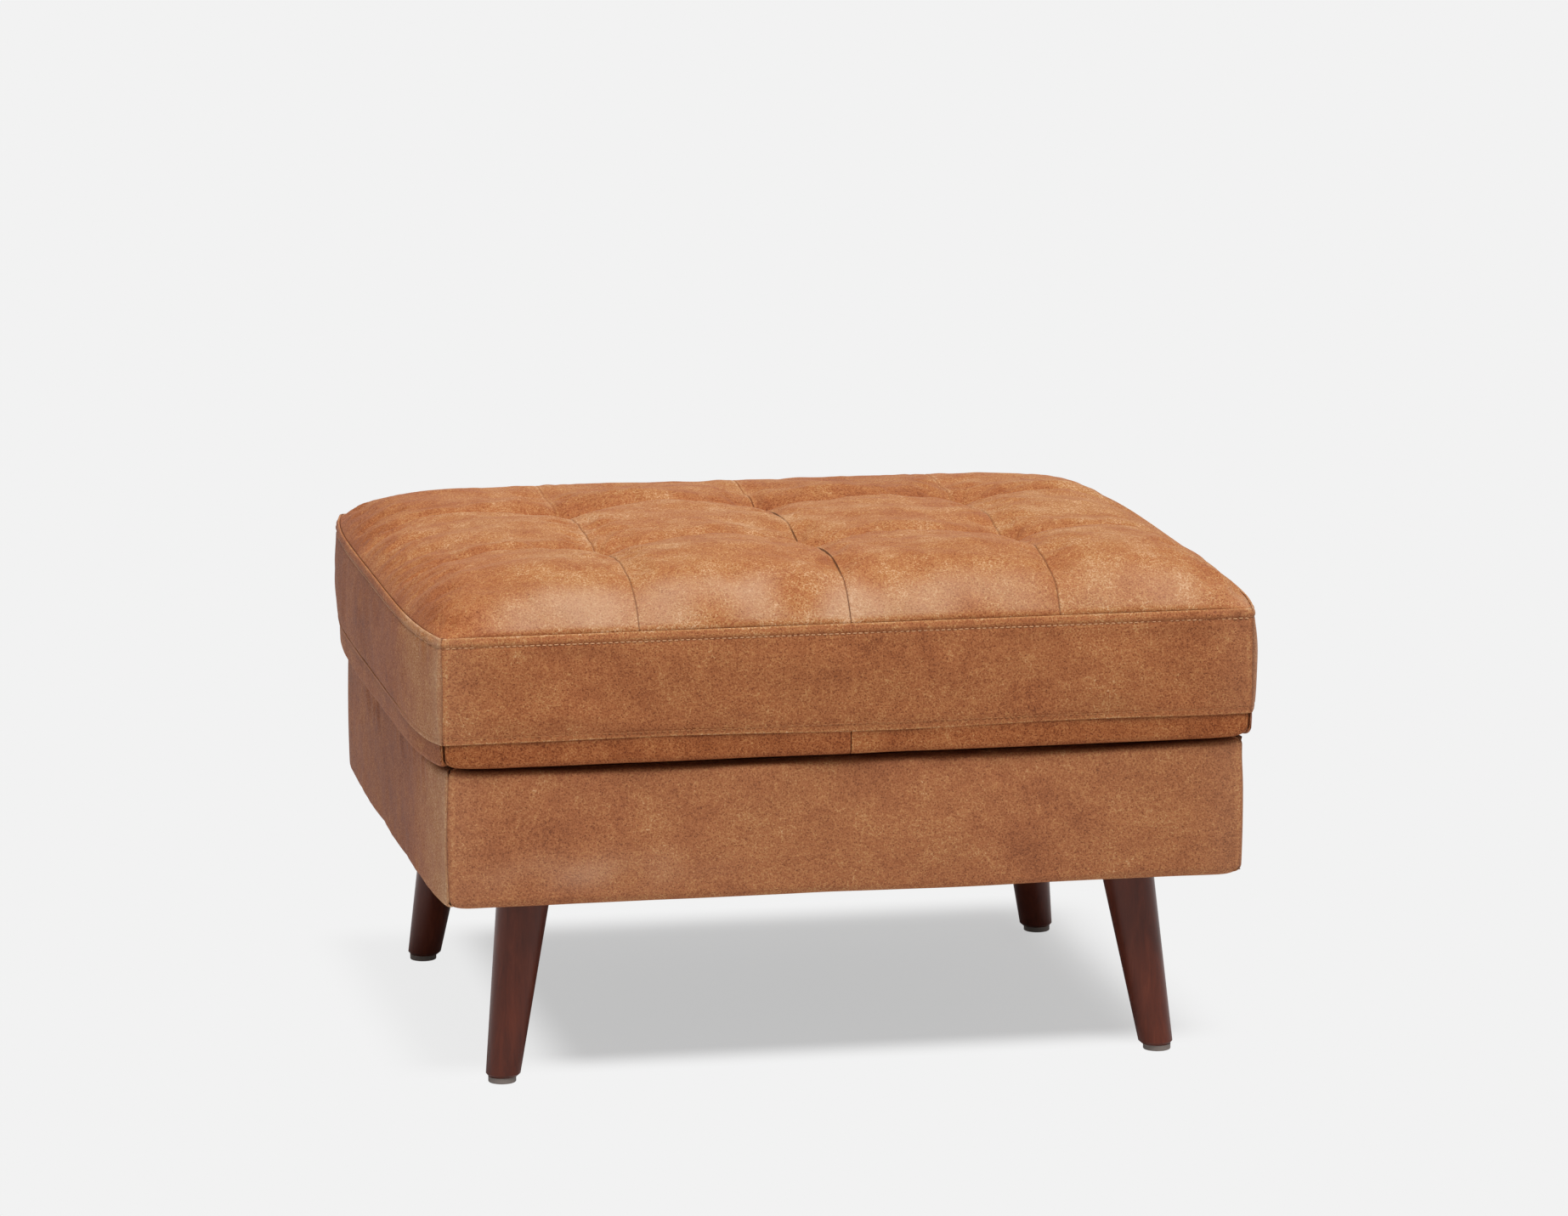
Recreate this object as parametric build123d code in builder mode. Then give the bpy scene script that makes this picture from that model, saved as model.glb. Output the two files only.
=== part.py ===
from build123d import *
import os
from math import sqrt

# A leather ottoman: an upholstered box base on four splayed wooden legs, and a loose box cushion
# whose top is sewn from twelve panels and drawn down at six blind tufts.
# Millimetres, +Z up. The origin is on the floor under the middle, and the front faces -Y.

# Overall sizes, between the corner seams
leg_height = 166.0
base_length = 684.0
base_depth = 586.0
base_height = 118.0
cushion_length = 695.0
cushion_depth = 604.0
cushion_side_height = 112.0
crown_height = 51.0

# Leather and cloth
cover_thickness = 1.6
seam_gap = 0.3
face_clearance = 0.3
base_edge_radius = 8.0
base_face_bulge = 2.0
base_end_bow = 6.0
base_flap = 27.5
deck_cloth_thickness = 1.2
dust_cover_thickness = 0.8
dust_cover_lap = 10.0

# Frame
padding_thickness = 8.1
rail_thickness = 18.0
web_thickness = 1.5
web_width = 50.0
lengthwise_webs = 5
crosswise_webs = 6
deck_pad_thickness = 11.4
centre_rail_height = 60.0
block_length = 86.0
block_width = 98.0
block_height = 36.0
block_corner_cut = 30.0
screw_radius = 2.5
screw_head_radius = 4.6
screw_length = 45.0
screw_spacing = 14.0
screw_clearance = 0.1
countersink_angle = 90

# Legs, from the floor up
leg_top_inset_x = 79.9
leg_top_inset_y = 90.7
leg_splay_x = 24.3
leg_splay_y = 22.6
leg_foot_radius = 14.8
leg_top_radius = 23.3
leg_foot_chamfer = 2.5
glide_radius = 11.9
glide_height = 5.0
glide_edge_radius = 1.0
nail_radius = 1.5
nail_length = 15.0
bolt_radius = 4.0
bolt_in_leg = 36.0
bolt_in_block = 34.0
bolt_clearance = 0.1
tee_nut_wall = 1.3
tee_nut_length = 20.0
tee_nut_flange_radius = 11.0
tee_nut_flange_thickness = 1.5

# Staples that hold the dust cover
staple_crown = 10.0
staple_leg = 6.0
staple_wire = 1.0
staple_edge = 5.0
staples_along_length = 7
staples_along_depth = 5

# Cushion cover
boxing_end_bow = 15.0
boxing_end_bulge = 3.0
boxing_front_bulge = 2.0
lap_height = 22.0
lap_tuck = 8.0
band_radius = 9.0
band_flap = 28.0
panel_thickness = 2.5
bottom_panel_thickness = 1.2
hook_thickness = 1.5
loop_thickness = 1.5
rest_gap = 0.4
strip_width = 50.0
strip_length = 400.0
strip_spacing = 340.0

# Cushion filling
column_spacing = 180.0
row_spacing = 200.0
soft_layer_thickness = 12.0
soft_layer_inset = 30.0
quilt_base_thickness = 3.0
quilt_clearance = 2.2
quilt_inset = 36.0
foam_edge_radius = 8.0
foam_end_bow = 14.0
tie_radius = 1.0
tie_clearance = 0.3
washer_radius = 12.0
washer_thickness = 2.0

# Zip along the back of the cushion
zip_length = 536.0
zip_drop = 5.0
zip_tape_reach = 8.0
zip_tape_thickness = 0.8
zip_slot = 1.6
coil_width = 1.8
coil_thickness = 1.4
coil_stop = 2.0
slider_length = 14.0
slider_width = 8.6
slider_wall = 1.0
slider_post_length = 8.0
slider_post_width = 1.0
slider_stop_gap = 4.0
hem_height = 10.0

# An end bows out by its bow at the middle and turns in to its corners with a power of the place
# along it. The places are shares of half of the end.
end_place_shares = (0.0, 0.4, 0.7, 0.88, 1.0)
base_bow_power = 10
boxing_bow_power = 5

# Each row of top panels, from its front edge to its back edge: a share of the row's depth, then
# the height of the pillows and the height of the seams beside them as shares of the crown
front_tuft_share = 0.4
back_tuft_share = 0.36
front_row_shares = (
    (0.0, 0.01, 0.0),
    (0.02, 0.2, 0.17),
    (0.06, 0.42, 0.37),
    (0.13, 0.64, 0.57),
    (0.26, 0.86, 0.76),
    (0.5, 1.0, 0.85),
    (0.75, 0.94, 0.74),
    (0.92, 0.84, 0.54),
    (1.0, 0.78, front_tuft_share),
)
middle_row_shares = (
    (0.0, 0.78, front_tuft_share),
    (0.08, 0.82, 0.54),
    (0.25, 0.85, 0.7),
    (0.5, 0.87, 0.76),
    (0.75, 0.83, 0.67),
    (0.92, 0.77, 0.5),
    (1.0, 0.72, back_tuft_share),
)
back_row_shares = (
    (0.0, 0.72, back_tuft_share),
    (0.08, 0.76, 0.48),
    (0.25, 0.78, 0.61),
    (0.5, 0.71, 0.61),
    (0.74, 0.55, 0.5),
    (0.87, 0.4, 0.36),
    (0.94, 0.27, 0.24),
    (0.98, 0.13, 0.11),
    (1.0, 0.01, 0.0),
)
column_crest_shares = (0.9, 1.06, 1.0, 0.97)

# Section of an end panel: places across its width and heights as shares of the pillow's height
edge_place_share = 0.07
edge_height_share = 0.35
shoulder_place_share = 0.24
shoulder_height_share = 0.73
crest_place_share = 0.62
diagonal_share = sqrt(0.5)

# Heights
base_top = leg_height + base_height
deck_pad_top = base_top - cover_thickness
rail_top = deck_pad_top - deck_pad_thickness - 2 * web_thickness
rail_bottom = leg_height + cover_thickness
deck_top = deck_pad_top + deck_cloth_thickness
cushion_bottom = deck_top + loop_thickness + rest_gap + hook_thickness
top_seam = cushion_bottom + cushion_side_height
lap_edge = cushion_bottom + lap_height
foam_bottom = cushion_bottom + cover_thickness + face_clearance
foam_top = top_seam - panel_thickness - 2 * face_clearance
soft_layer_top = foam_top + soft_layer_thickness
leg_top = leg_height - dust_cover_thickness

# Half sizes in plan
base_half_x = base_length / 2
base_half_y = base_depth / 2
cushion_half_x = cushion_length / 2
cushion_half_y = cushion_depth / 2
rail_half_x = base_half_x - cover_thickness - face_clearance - padding_thickness
rail_half_y = base_half_y - cover_thickness - face_clearance - padding_thickness
rail_inner_x = rail_half_x - rail_thickness
rail_inner_y = rail_half_y - rail_thickness
flap_x = base_half_x - base_flap
flap_y = base_half_y - base_flap
leg_top_spread_x = base_half_x - leg_top_inset_x
leg_top_spread_y = base_half_y - leg_top_inset_y
foot_spread_x = leg_top_spread_x + leg_splay_x
foot_spread_y = leg_top_spread_y + leg_splay_y
block_centre_x = rail_inner_x - block_length / 2
block_centre_y = rail_inner_y - block_width / 2
band_inset = cover_thickness + face_clearance
band_half_x = cushion_half_x - band_inset
band_half_y = cushion_half_y - band_inset
panel_half_y = cushion_half_y - band_inset
row_seam = row_spacing / 2
column_edges = (-column_spacing, 0, column_spacing)
tuft_rows = ((-row_seam, front_tuft_share), (row_seam, back_tuft_share))
tuft_spots = [(x, y) for x in column_edges for y, share in tuft_rows]

# Which way each side faces
sides = {"front": (0, -1), "back": (0, 1), "left": (-1, 0), "right": (1, 0)}
corners = {
    "front_left": (-1, -1),
    "front_right": (1, -1),
    "back_left": (-1, 1),
    "back_right": (1, 1),
}

os.makedirs("parts", exist_ok=True)


def save(builder, node):
    builder.part.label = node
    export_step(builder.part, f"parts/{node}.step")


def section_plane(side, station):
    """A plane across a side at a place along it: its local X points outward and its local Y up."""
    out_x, out_y = sides[side]
    origin = (station * abs(out_y), station * abs(out_x), 0)
    return Plane(origin=origin, x_dir=(out_x, out_y, 0), z_dir=(out_y, -out_x, 0))


def end_stations(half_depth, bow, power):
    """Places along an end from front to back, each with how far the end stands out there."""
    half = [(share * half_depth, bow * (1 - share**power)) for share in end_place_shares]
    return [(-place, out) for place, out in reversed(half[1:])] + half


def trim_corners(side, half_x, half_y):
    """Cut both ends of a side's panel to the mitre line of its corner, half a seam gap back."""
    out_x, out_y = sides[side]
    for turn in (-1, 1):
        corner_x = out_x + turn * abs(out_y)
        corner_y = out_y + turn * abs(out_x)
        inward = (-corner_x, corner_y, 0) if out_y else (corner_x, -corner_y, 0)
        mitre = Plane(origin=(corner_x * half_x, corner_y * half_y, 0), z_dir=inward)
        split(bisect_by=mitre.offset(seam_gap / 2), keep=Keep.TOP)


def wrap_edges(face, low, high, radius, bulge, reach):
    """Edges round a side: in along the underside, round the face, and in again along the top."""
    diagonal = radius * diagonal_share
    turn = face - radius
    Line((reach, low), (turn, low))
    ThreePointArc((turn, low), (turn + diagonal, low + radius - diagonal), (face, low + radius))
    ThreePointArc((face, low + radius), (face + bulge, (low + high) / 2), (face, high - radius))
    ThreePointArc((face, high - radius), (turn + diagonal, high - radius + diagonal), (turn, high))
    Line((turn, high), (reach, high))


def base_cover_edges(face, reach):
    low = leg_height
    wrap_edges(face, low, base_top, base_edge_radius, base_face_bulge, reach)
    inner_face = face - cover_thickness
    inner_low = low + cover_thickness
    inner_high = base_top - cover_thickness
    inner_radius = base_edge_radius - cover_thickness
    wrap_edges(inner_face, inner_low, inner_high, inner_radius, base_face_bulge, reach)
    Line((reach, low), (reach, inner_low))
    Line((reach, base_top), (reach, inner_high))


def padding_edges(face, reach):
    inset = cover_thickness + face_clearance
    low = leg_height + inset
    high = base_top - inset
    wrap_edges(face - inset, low, high, base_edge_radius - inset, base_face_bulge, reach)
    Line((reach, low), (reach, high))


def boxing_edges(face, bulge):
    middle = (top_seam + lap_edge) / 2
    inner = face - cover_thickness
    ThreePointArc((face, lap_edge), (face + bulge, middle), (face, top_seam))
    Line((face, top_seam), (inner, top_seam))
    ThreePointArc((inner, top_seam), (inner + bulge, middle), (inner, lap_edge))
    Line((inner, lap_edge), (face, lap_edge))


def band_edges(face, reach):
    top = lap_edge + lap_tuck
    low = cushion_bottom
    for inset in (0, cover_thickness):
        radius = band_radius - inset
        diagonal = radius * diagonal_share
        side = face - inset
        turn = side - radius
        rise = low + inset + radius
        Line((side, top), (side, rise))
        ThreePointArc((side, rise), (turn + diagonal, rise - diagonal), (turn, low + inset))
        Line((turn, low + inset), (reach, low + inset))
    Line((face, top), (face - cover_thickness, top))
    Line((reach, low), (reach, low + cover_thickness))


# Frame rails, glued and screwed to the corner blocks

def screw_places(side):
    """Planes at the screw heads of one rail, facing out."""
    out_x, out_y = sides[side]
    places = []
    for turn in (-1, 1):
        for lift in (-1, 1):
            x = out_x * rail_half_x + turn * abs(out_y) * block_centre_x
            y = out_y * rail_half_y + turn * abs(out_x) * block_centre_y
            z = leg_height + block_height / 2 + lift * screw_spacing / 2
            places.append(Plane(origin=(x, y, z), z_dir=(out_x, out_y, 0)))
    return places


for side, (out_x, out_y) in sides.items():
    length = 2 * rail_half_x if out_y else 2 * rail_inner_y
    centre = (out_x * (rail_half_x - rail_thickness / 2), out_y * (rail_half_y - rail_thickness / 2))
    size_x = length if out_y else rail_thickness
    size_y = rail_thickness if out_y else length
    with BuildPart() as rail:
        with BuildSketch(Plane.XY.offset(rail_bottom)):
            with Locations(centre):
                Rectangle(size_x, size_y)
        extrude(amount=rail_top - rail_bottom)
        with Locations(screw_places(side)):
            CounterSinkHole(
                screw_radius + screw_clearance,
                screw_head_radius + screw_clearance,
                depth=screw_length,
                counter_sink_angle=countersink_angle,
            )
    save(rail, f"frame_{side}_rail")

with BuildPart() as centre_rail:
    with BuildSketch(Plane.XY.offset(rail_top - centre_rail_height)):
        Rectangle(rail_thickness, 2 * rail_inner_y)
    extrude(amount=centre_rail_height)
save(centre_rail, "frame_center_rail")

with BuildPart() as screws:
    for side in sides:
        with Locations(screw_places(side)):
            Cylinder(screw_radius, screw_length, align=(Align.CENTER, Align.CENTER, Align.MAX))
            Cone(
                screw_radius,
                screw_head_radius,
                screw_head_radius - screw_radius,
                align=(Align.CENTER, Align.CENTER, Align.MAX),
            )
save(screws, "corner_block_screws")

# Corner blocks, legs and glides

bolt_low = leg_top - bolt_in_leg
bolt_length = bolt_in_leg + dust_cover_thickness + bolt_in_block
block_hole_radius = bolt_radius + bolt_clearance + tee_nut_wall + bolt_clearance
leg_rings = (
    (glide_height, leg_foot_radius - leg_foot_chamfer),
    (glide_height + leg_foot_chamfer, leg_foot_radius),
    (leg_top, leg_top_radius),
)


def leg_axis(turn_x, turn_y, height):
    """The leg's centre line at a height above the floor."""
    rise = height / leg_height
    x = foot_spread_x + (leg_top_spread_x - foot_spread_x) * rise
    y = foot_spread_y + (leg_top_spread_y - foot_spread_y) * rise
    return turn_x * x, turn_y * y


for corner, (turn_x, turn_y) in corners.items():
    bolt_spot = leg_axis(turn_x, turn_y, leg_top)
    foot_spot = leg_axis(turn_x, turn_y, 0)

    with BuildPart() as block:
        with BuildSketch(Plane.XY.offset(leg_height)):
            with Locations((turn_x * block_centre_x, turn_y * block_centre_y)):
                Rectangle(block_length, block_width)
        extrude(amount=block_height)
        inner_edge = block.edges().filter_by(Axis.Z).sort_by_distance((0, 0, leg_height))[0]
        chamfer(inner_edge, block_corner_cut)
        with Locations((*bolt_spot, leg_height + block_height)):
            Hole(block_hole_radius)
        for side in sides:
            with Locations(screw_places(side)):
                Hole(screw_radius + screw_clearance, depth=screw_length)
    save(block, f"{corner}_corner_block")

    with BuildPart() as leg:
        for height, radius in leg_rings:
            with BuildSketch(Plane.XY.offset(height)):
                with Locations(leg_axis(turn_x, turn_y, height)):
                    Circle(radius)
        loft(ruled=True)
        with Locations((*bolt_spot, leg_top)):
            Hole(bolt_radius + bolt_clearance, depth=bolt_in_leg)
        with Locations(Plane(origin=(*foot_spot, glide_height), z_dir=(0, 0, -1))):
            Hole(nail_radius + bolt_clearance, depth=nail_length + bolt_clearance)
    save(leg, f"{corner}_leg")

    with BuildPart() as glide:
        with BuildSketch(Plane.XY):
            with Locations(foot_spot):
                Circle(glide_radius)
        extrude(amount=glide_height)
        fillet(glide.faces().sort_by(Axis.Z)[0].edges(), glide_edge_radius)
        with BuildSketch(Plane.XY.offset(glide_height)):
            with Locations(foot_spot):
                Circle(nail_radius)
        extrude(amount=nail_length)
    save(glide, f"{corner}_glide")

leg_top_spots = [leg_axis(turn_x, turn_y, leg_top) for turn_x, turn_y in corners.values()]

with BuildPart() as bolts:
    with BuildSketch(Plane.XY.offset(bolt_low)):
        with Locations(leg_top_spots):
            Circle(bolt_radius)
    extrude(amount=bolt_length)
save(bolts, "leg_hanger_bolts")

with BuildPart() as tee_nuts:
    with BuildSketch(Plane.XY.offset(leg_height + block_height)):
        with Locations(leg_top_spots):
            Circle(tee_nut_flange_radius)
    extrude(amount=tee_nut_flange_thickness)
    with BuildSketch(Plane.XY.offset(leg_height + block_height)):
        with Locations(leg_top_spots):
            Circle(bolt_radius + bolt_clearance + tee_nut_wall)
    extrude(amount=-tee_nut_length)
    with BuildSketch(Plane.XY.offset(leg_height)):
        with Locations(leg_top_spots):
            Circle(bolt_radius + bolt_clearance)
    extrude(amount=2 * block_height, mode=Mode.SUBTRACT)
save(tee_nuts, "leg_tee_nuts")

# Webbing and deck

web_pitch_y = 2 * rail_half_y / (lengthwise_webs + 1)
web_pitch_x = 2 * rail_half_x / (crosswise_webs + 1)

with BuildPart() as lengthwise:
    with BuildSketch(Plane.XY.offset(rail_top)):
        with GridLocations(0, web_pitch_y, 1, lengthwise_webs):
            Rectangle(2 * rail_half_x, web_width)
    extrude(amount=web_thickness)
save(lengthwise, "webbing_lengthwise")

with BuildPart() as crosswise:
    with BuildSketch(Plane.XY.offset(rail_top + web_thickness)):
        with GridLocations(web_pitch_x, 0, crosswise_webs, 1):
            Rectangle(web_width, 2 * rail_half_y)
    extrude(amount=web_thickness)
save(crosswise, "webbing_crosswise")

with BuildPart() as deck_pad:
    with BuildSketch(Plane.XY.offset(rail_top + 2 * web_thickness)):
        Rectangle(2 * rail_half_x, 2 * rail_half_y)
    extrude(amount=deck_pad_thickness)
save(deck_pad, "deck_pad")

with BuildPart() as deck_cloth:
    with BuildSketch(Plane.XY.offset(deck_pad_top)):
        Rectangle(2 * (flap_x - seam_gap), 2 * (flap_y - seam_gap))
    extrude(amount=deck_cloth_thickness)
save(deck_cloth, "deck_cloth")

with BuildPart() as loop_strips:
    with BuildSketch(Plane.XY.offset(deck_top)):
        with GridLocations(0, strip_spacing, 1, 2):
            Rectangle(strip_length, strip_width)
    extrude(amount=loop_thickness)
save(loop_strips, "deck_loop_strips")

# Padding and leather of the base: straight along the front and back, bowed along the ends

for side, (out_x, out_y) in sides.items():
    half = base_half_y if out_y else base_half_x
    rail_face = rail_half_y if out_y else rail_half_x
    flap_edge = flap_y if out_y else flap_x
    half_run = base_half_x if out_y else base_half_y

    with BuildPart() as padding:
        if out_y:
            with BuildSketch(section_plane(side, 0)):
                with BuildLine():
                    padding_edges(half, rail_face)
                make_face()
            extrude(amount=half_run + base_face_bulge, both=True)
        else:
            for station, out in end_stations(half_run + base_face_bulge, base_end_bow, base_bow_power):
                with BuildSketch(section_plane(side, station)):
                    with BuildLine():
                        padding_edges(half + out, rail_face)
                    make_face()
            loft()
        trim_corners(side, base_half_x - band_inset, base_half_y - band_inset)
    save(padding, f"base_padding_{side}")

    with BuildPart() as cover:
        if out_y:
            with BuildSketch(section_plane(side, 0)):
                with BuildLine():
                    base_cover_edges(half, flap_edge)
                make_face()
            extrude(amount=half_run + base_face_bulge, both=True)
        else:
            for station, out in end_stations(half_run + base_face_bulge, base_end_bow, base_bow_power):
                with BuildSketch(section_plane(side, station)):
                    with BuildLine():
                        base_cover_edges(half + out, flap_edge)
                    make_face()
            loft()
        trim_corners(side, base_half_x, base_half_y)
    save(cover, f"base_cover_{side}")

# Dust cover under the base, with its staples

dust_half_x = flap_x + dust_cover_lap
dust_half_y = flap_y + dust_cover_lap

with BuildPart() as dust_cover:
    with BuildSketch(Plane.XY.offset(leg_top)):
        Rectangle(2 * dust_half_x, 2 * dust_half_y)
        with Locations(leg_top_spots):
            Circle(bolt_radius + bolt_clearance, mode=Mode.SUBTRACT)
    extrude(amount=dust_cover_thickness)
save(dust_cover, "dust_cover")

staple_x = dust_half_x - staple_edge
staple_y = dust_half_y - staple_edge
long_pitch = 2 * dust_half_x / (staples_along_length + 1)
short_pitch = 2 * dust_half_y / (staples_along_depth + 1)
leg_offset = staple_crown - staple_wire

with BuildPart() as staples:
    with BuildSketch(Plane.XY.offset(leg_top)):
        with GridLocations(long_pitch, 2 * staple_y, staples_along_length, 2):
            Rectangle(staple_crown, staple_wire)
        with GridLocations(2 * staple_x, short_pitch, 2, staples_along_depth):
            Rectangle(staple_wire, staple_crown)
    extrude(amount=-staple_wire / 2)
    with BuildSketch(Plane.XY.offset(leg_top)):
        with GridLocations(long_pitch, 2 * staple_y, staples_along_length, 2):
            with GridLocations(leg_offset, 0, 2, 1):
                Rectangle(staple_wire, staple_wire)
        with GridLocations(2 * staple_x, short_pitch, 2, staples_along_depth):
            with GridLocations(0, leg_offset, 1, 2):
                Rectangle(staple_wire, staple_wire)
    extrude(amount=staple_leg)
save(staples, "dust_cover_staples")

# Cushion boxing and lower bands

zip_height = lap_edge - zip_drop
zip_half = zip_length / 2
band_back_top = zip_height - zip_drop

for side, (out_x, out_y) in sides.items():
    half = cushion_half_y if out_y else cushion_half_x
    half_run = cushion_half_x if out_y else cushion_half_y
    bulge = boxing_front_bulge if out_y else boxing_end_bulge
    band_face = half - band_inset
    band_reach = half - band_flap

    with BuildPart() as boxing:
        if out_y:
            with BuildSketch(section_plane(side, 0)):
                with BuildLine():
                    boxing_edges(half, bulge)
                make_face()
            extrude(amount=half_run + boxing_end_bulge, both=True)
            if side == "back":
                with BuildSketch(section_plane(side, 0)):
                    with Locations((half - cover_thickness, lap_edge)):
                        Rectangle(2 * cover_thickness, hem_height, align=(Align.CENTER, Align.MIN))
                extrude(amount=zip_half, both=True)
        else:
            stations = end_stations(half_run + boxing_front_bulge, boxing_end_bow, boxing_bow_power)
            for station, out in stations:
                with BuildSketch(section_plane(side, station)):
                    with BuildLine():
                        boxing_edges(half + out, bulge)
                    make_face()
            loft()
        trim_corners(side, cushion_half_x, cushion_half_y)
    save(boxing, f"boxing_{side}")

    with BuildPart() as band:
        if out_y:
            with BuildSketch(section_plane(side, 0)):
                with BuildLine():
                    band_edges(band_face, band_reach)
                make_face()
            extrude(amount=half_run, both=True)
        else:
            for station, out in end_stations(half_run, boxing_end_bow, boxing_bow_power):
                with BuildSketch(section_plane(side, station)):
                    with BuildLine():
                        band_edges(band_face + out, band_reach)
                    make_face()
            loft()
        trim_corners(side, band_half_x, band_half_y)
        if side == "back":
            with BuildSketch(Plane.XY.offset(band_back_top)):
                with Locations((0, cushion_half_y)):
                    Rectangle(zip_length + slider_stop_gap, 2 * band_flap)
            extrude(amount=lap_height, mode=Mode.SUBTRACT)
    if side == "front":
        for half_name, keep in (("left", Keep.BOTTOM), ("right", Keep.TOP)):
            middle = Plane.YZ.offset(-seam_gap / 2 if half_name == "left" else seam_gap / 2)
            with BuildPart() as half_band:
                add(band.part)
                split(bisect_by=middle, keep=keep)
            save(half_band, f"lower_band_front_{half_name}")
    else:
        save(band, f"lower_band_{side}")

with BuildPart() as bottom_panel:
    with BuildSketch(Plane.XY.offset(cushion_bottom)):
        Rectangle(
            2 * (cushion_half_x - band_flap - seam_gap),
            2 * (cushion_half_y - band_flap - seam_gap),
        )
    extrude(amount=bottom_panel_thickness)
save(bottom_panel, "bottom_panel")

with BuildPart() as hook_strips:
    with BuildSketch(Plane.XY.offset(cushion_bottom)):
        with GridLocations(0, strip_spacing, 1, 2):
            Rectangle(strip_length, strip_width)
    extrude(amount=-hook_thickness)
save(hook_strips, "cushion_hook_strips")

# Top panels: four pillows in each of three rows

rows = {
    "front": (-panel_half_y, -row_seam - seam_gap / 2, front_row_shares),
    "middle": (-row_seam + seam_gap / 2, row_seam - seam_gap / 2, middle_row_shares),
    "back": (row_seam + seam_gap / 2, panel_half_y, back_row_shares),
}


def end_edge(y):
    """How far out the top panels' end edges are at a place along the depth."""
    share = abs(y) / cushion_half_y
    return band_half_x - face_clearance + boxing_end_bow * (1 - share**boxing_bow_power)


def panel_surface(column, y, crest_share, seam_share, drop):
    """Points across one panel's top, from one seam to the other, with the middle of each arc."""
    level = top_seam - drop
    pillow = crown_height * crest_share * column_crest_shares[column]
    seam = level + crown_height * seam_share
    if column in (1, 2):
        left = column_edges[column - 1] + seam_gap / 2
        right = column_edges[column] - seam_gap / 2
        return [(left, seam), ((left + right) / 2, level + pillow), (right, seam)]
    outward = -1 if column == 0 else 1
    outer = end_edge(y)
    width = outer - column_spacing - seam_gap / 2
    places = (
        (0, 0),
        (edge_place_share, edge_height_share),
        (shoulder_place_share, shoulder_height_share),
        (crest_place_share, 1),
    )
    points = [(outward * (outer - place * width), level + height * pillow) for place, height in places]
    return points + [(outward * (outer - width), seam)]


def surface_arcs(points):
    for start in range(0, len(points) - 1, 2):
        ThreePointArc(points[start], points[start + 1], points[start + 2])


for row, (row_front, row_back, row_shares) in rows.items():
    with BuildPart() as panels:
        for column in range(len(column_crest_shares)):
            for depth_share, crest_share, seam_share in row_shares:
                y = row_front + depth_share * (row_back - row_front)
                upper = panel_surface(column, y, crest_share, seam_share, 0)
                lower = panel_surface(column, y, crest_share, seam_share, panel_thickness)
                with BuildSketch(Plane.XZ.offset(-y)):
                    with BuildLine():
                        surface_arcs(upper)
                        surface_arcs(lower)
                        Line(upper[0], lower[0])
                        Line(upper[-1], lower[-1])
                    make_face()
            loft()
    save(panels, f"top_panels_{row}_row")

# Filling: foam block, soft layer, quilted fibre under the panels, tufting ties and their washers

quilt_drop = panel_thickness + quilt_clearance
quilt_low = soft_layer_top + quilt_base_thickness
quilt_half_x = band_half_x - quilt_inset
quilt_half_y = panel_half_y - quilt_inset

with BuildPart() as quilt:
    with BuildSketch(Plane.XY.offset(soft_layer_top)):
        Rectangle(2 * quilt_half_x, 2 * quilt_half_y)
    extrude(amount=quilt_base_thickness)
    for row_front, row_back, row_shares in rows.values():
        for column in range(len(column_crest_shares)):
            for depth_share, crest_share, seam_share in row_shares:
                y = row_front + depth_share * (row_back - row_front)
                points = panel_surface(column, y, crest_share, seam_share, quilt_drop)[-3:]
                if min(height for place, height in points) < quilt_low + face_clearance:
                    continue
                with BuildSketch(Plane.XZ.offset(-y)):
                    with BuildLine():
                        surface_arcs(points)
                        Polyline(
                            points[-1],
                            (points[-1][0], soft_layer_top),
                            (points[0][0], soft_layer_top),
                            points[0],
                        )
                    make_face()
            loft(ruled=True)
    with BuildSketch(Plane.XY.offset(soft_layer_top)):
        with Locations(tuft_spots):
            Circle(tie_radius + tie_clearance)
    extrude(amount=2 * crown_height, mode=Mode.SUBTRACT)
save(quilt, "fibre_quilt")

with BuildPart() as soft_layer:
    with BuildSketch(Plane.XY.offset(foam_top)):
        Rectangle(2 * (band_half_x - soft_layer_inset), 2 * (panel_half_y - soft_layer_inset))
        with Locations(tuft_spots):
            Circle(tie_radius + tie_clearance, mode=Mode.SUBTRACT)
    extrude(amount=soft_layer_thickness)
save(soft_layer, "soft_foam_layer")

foam_half_x = band_half_x - cover_thickness - face_clearance
foam_half_y = band_half_y - cover_thickness - face_clearance
channel_depth = slider_wall + 2 * face_clearance + zip_tape_thickness

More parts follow.
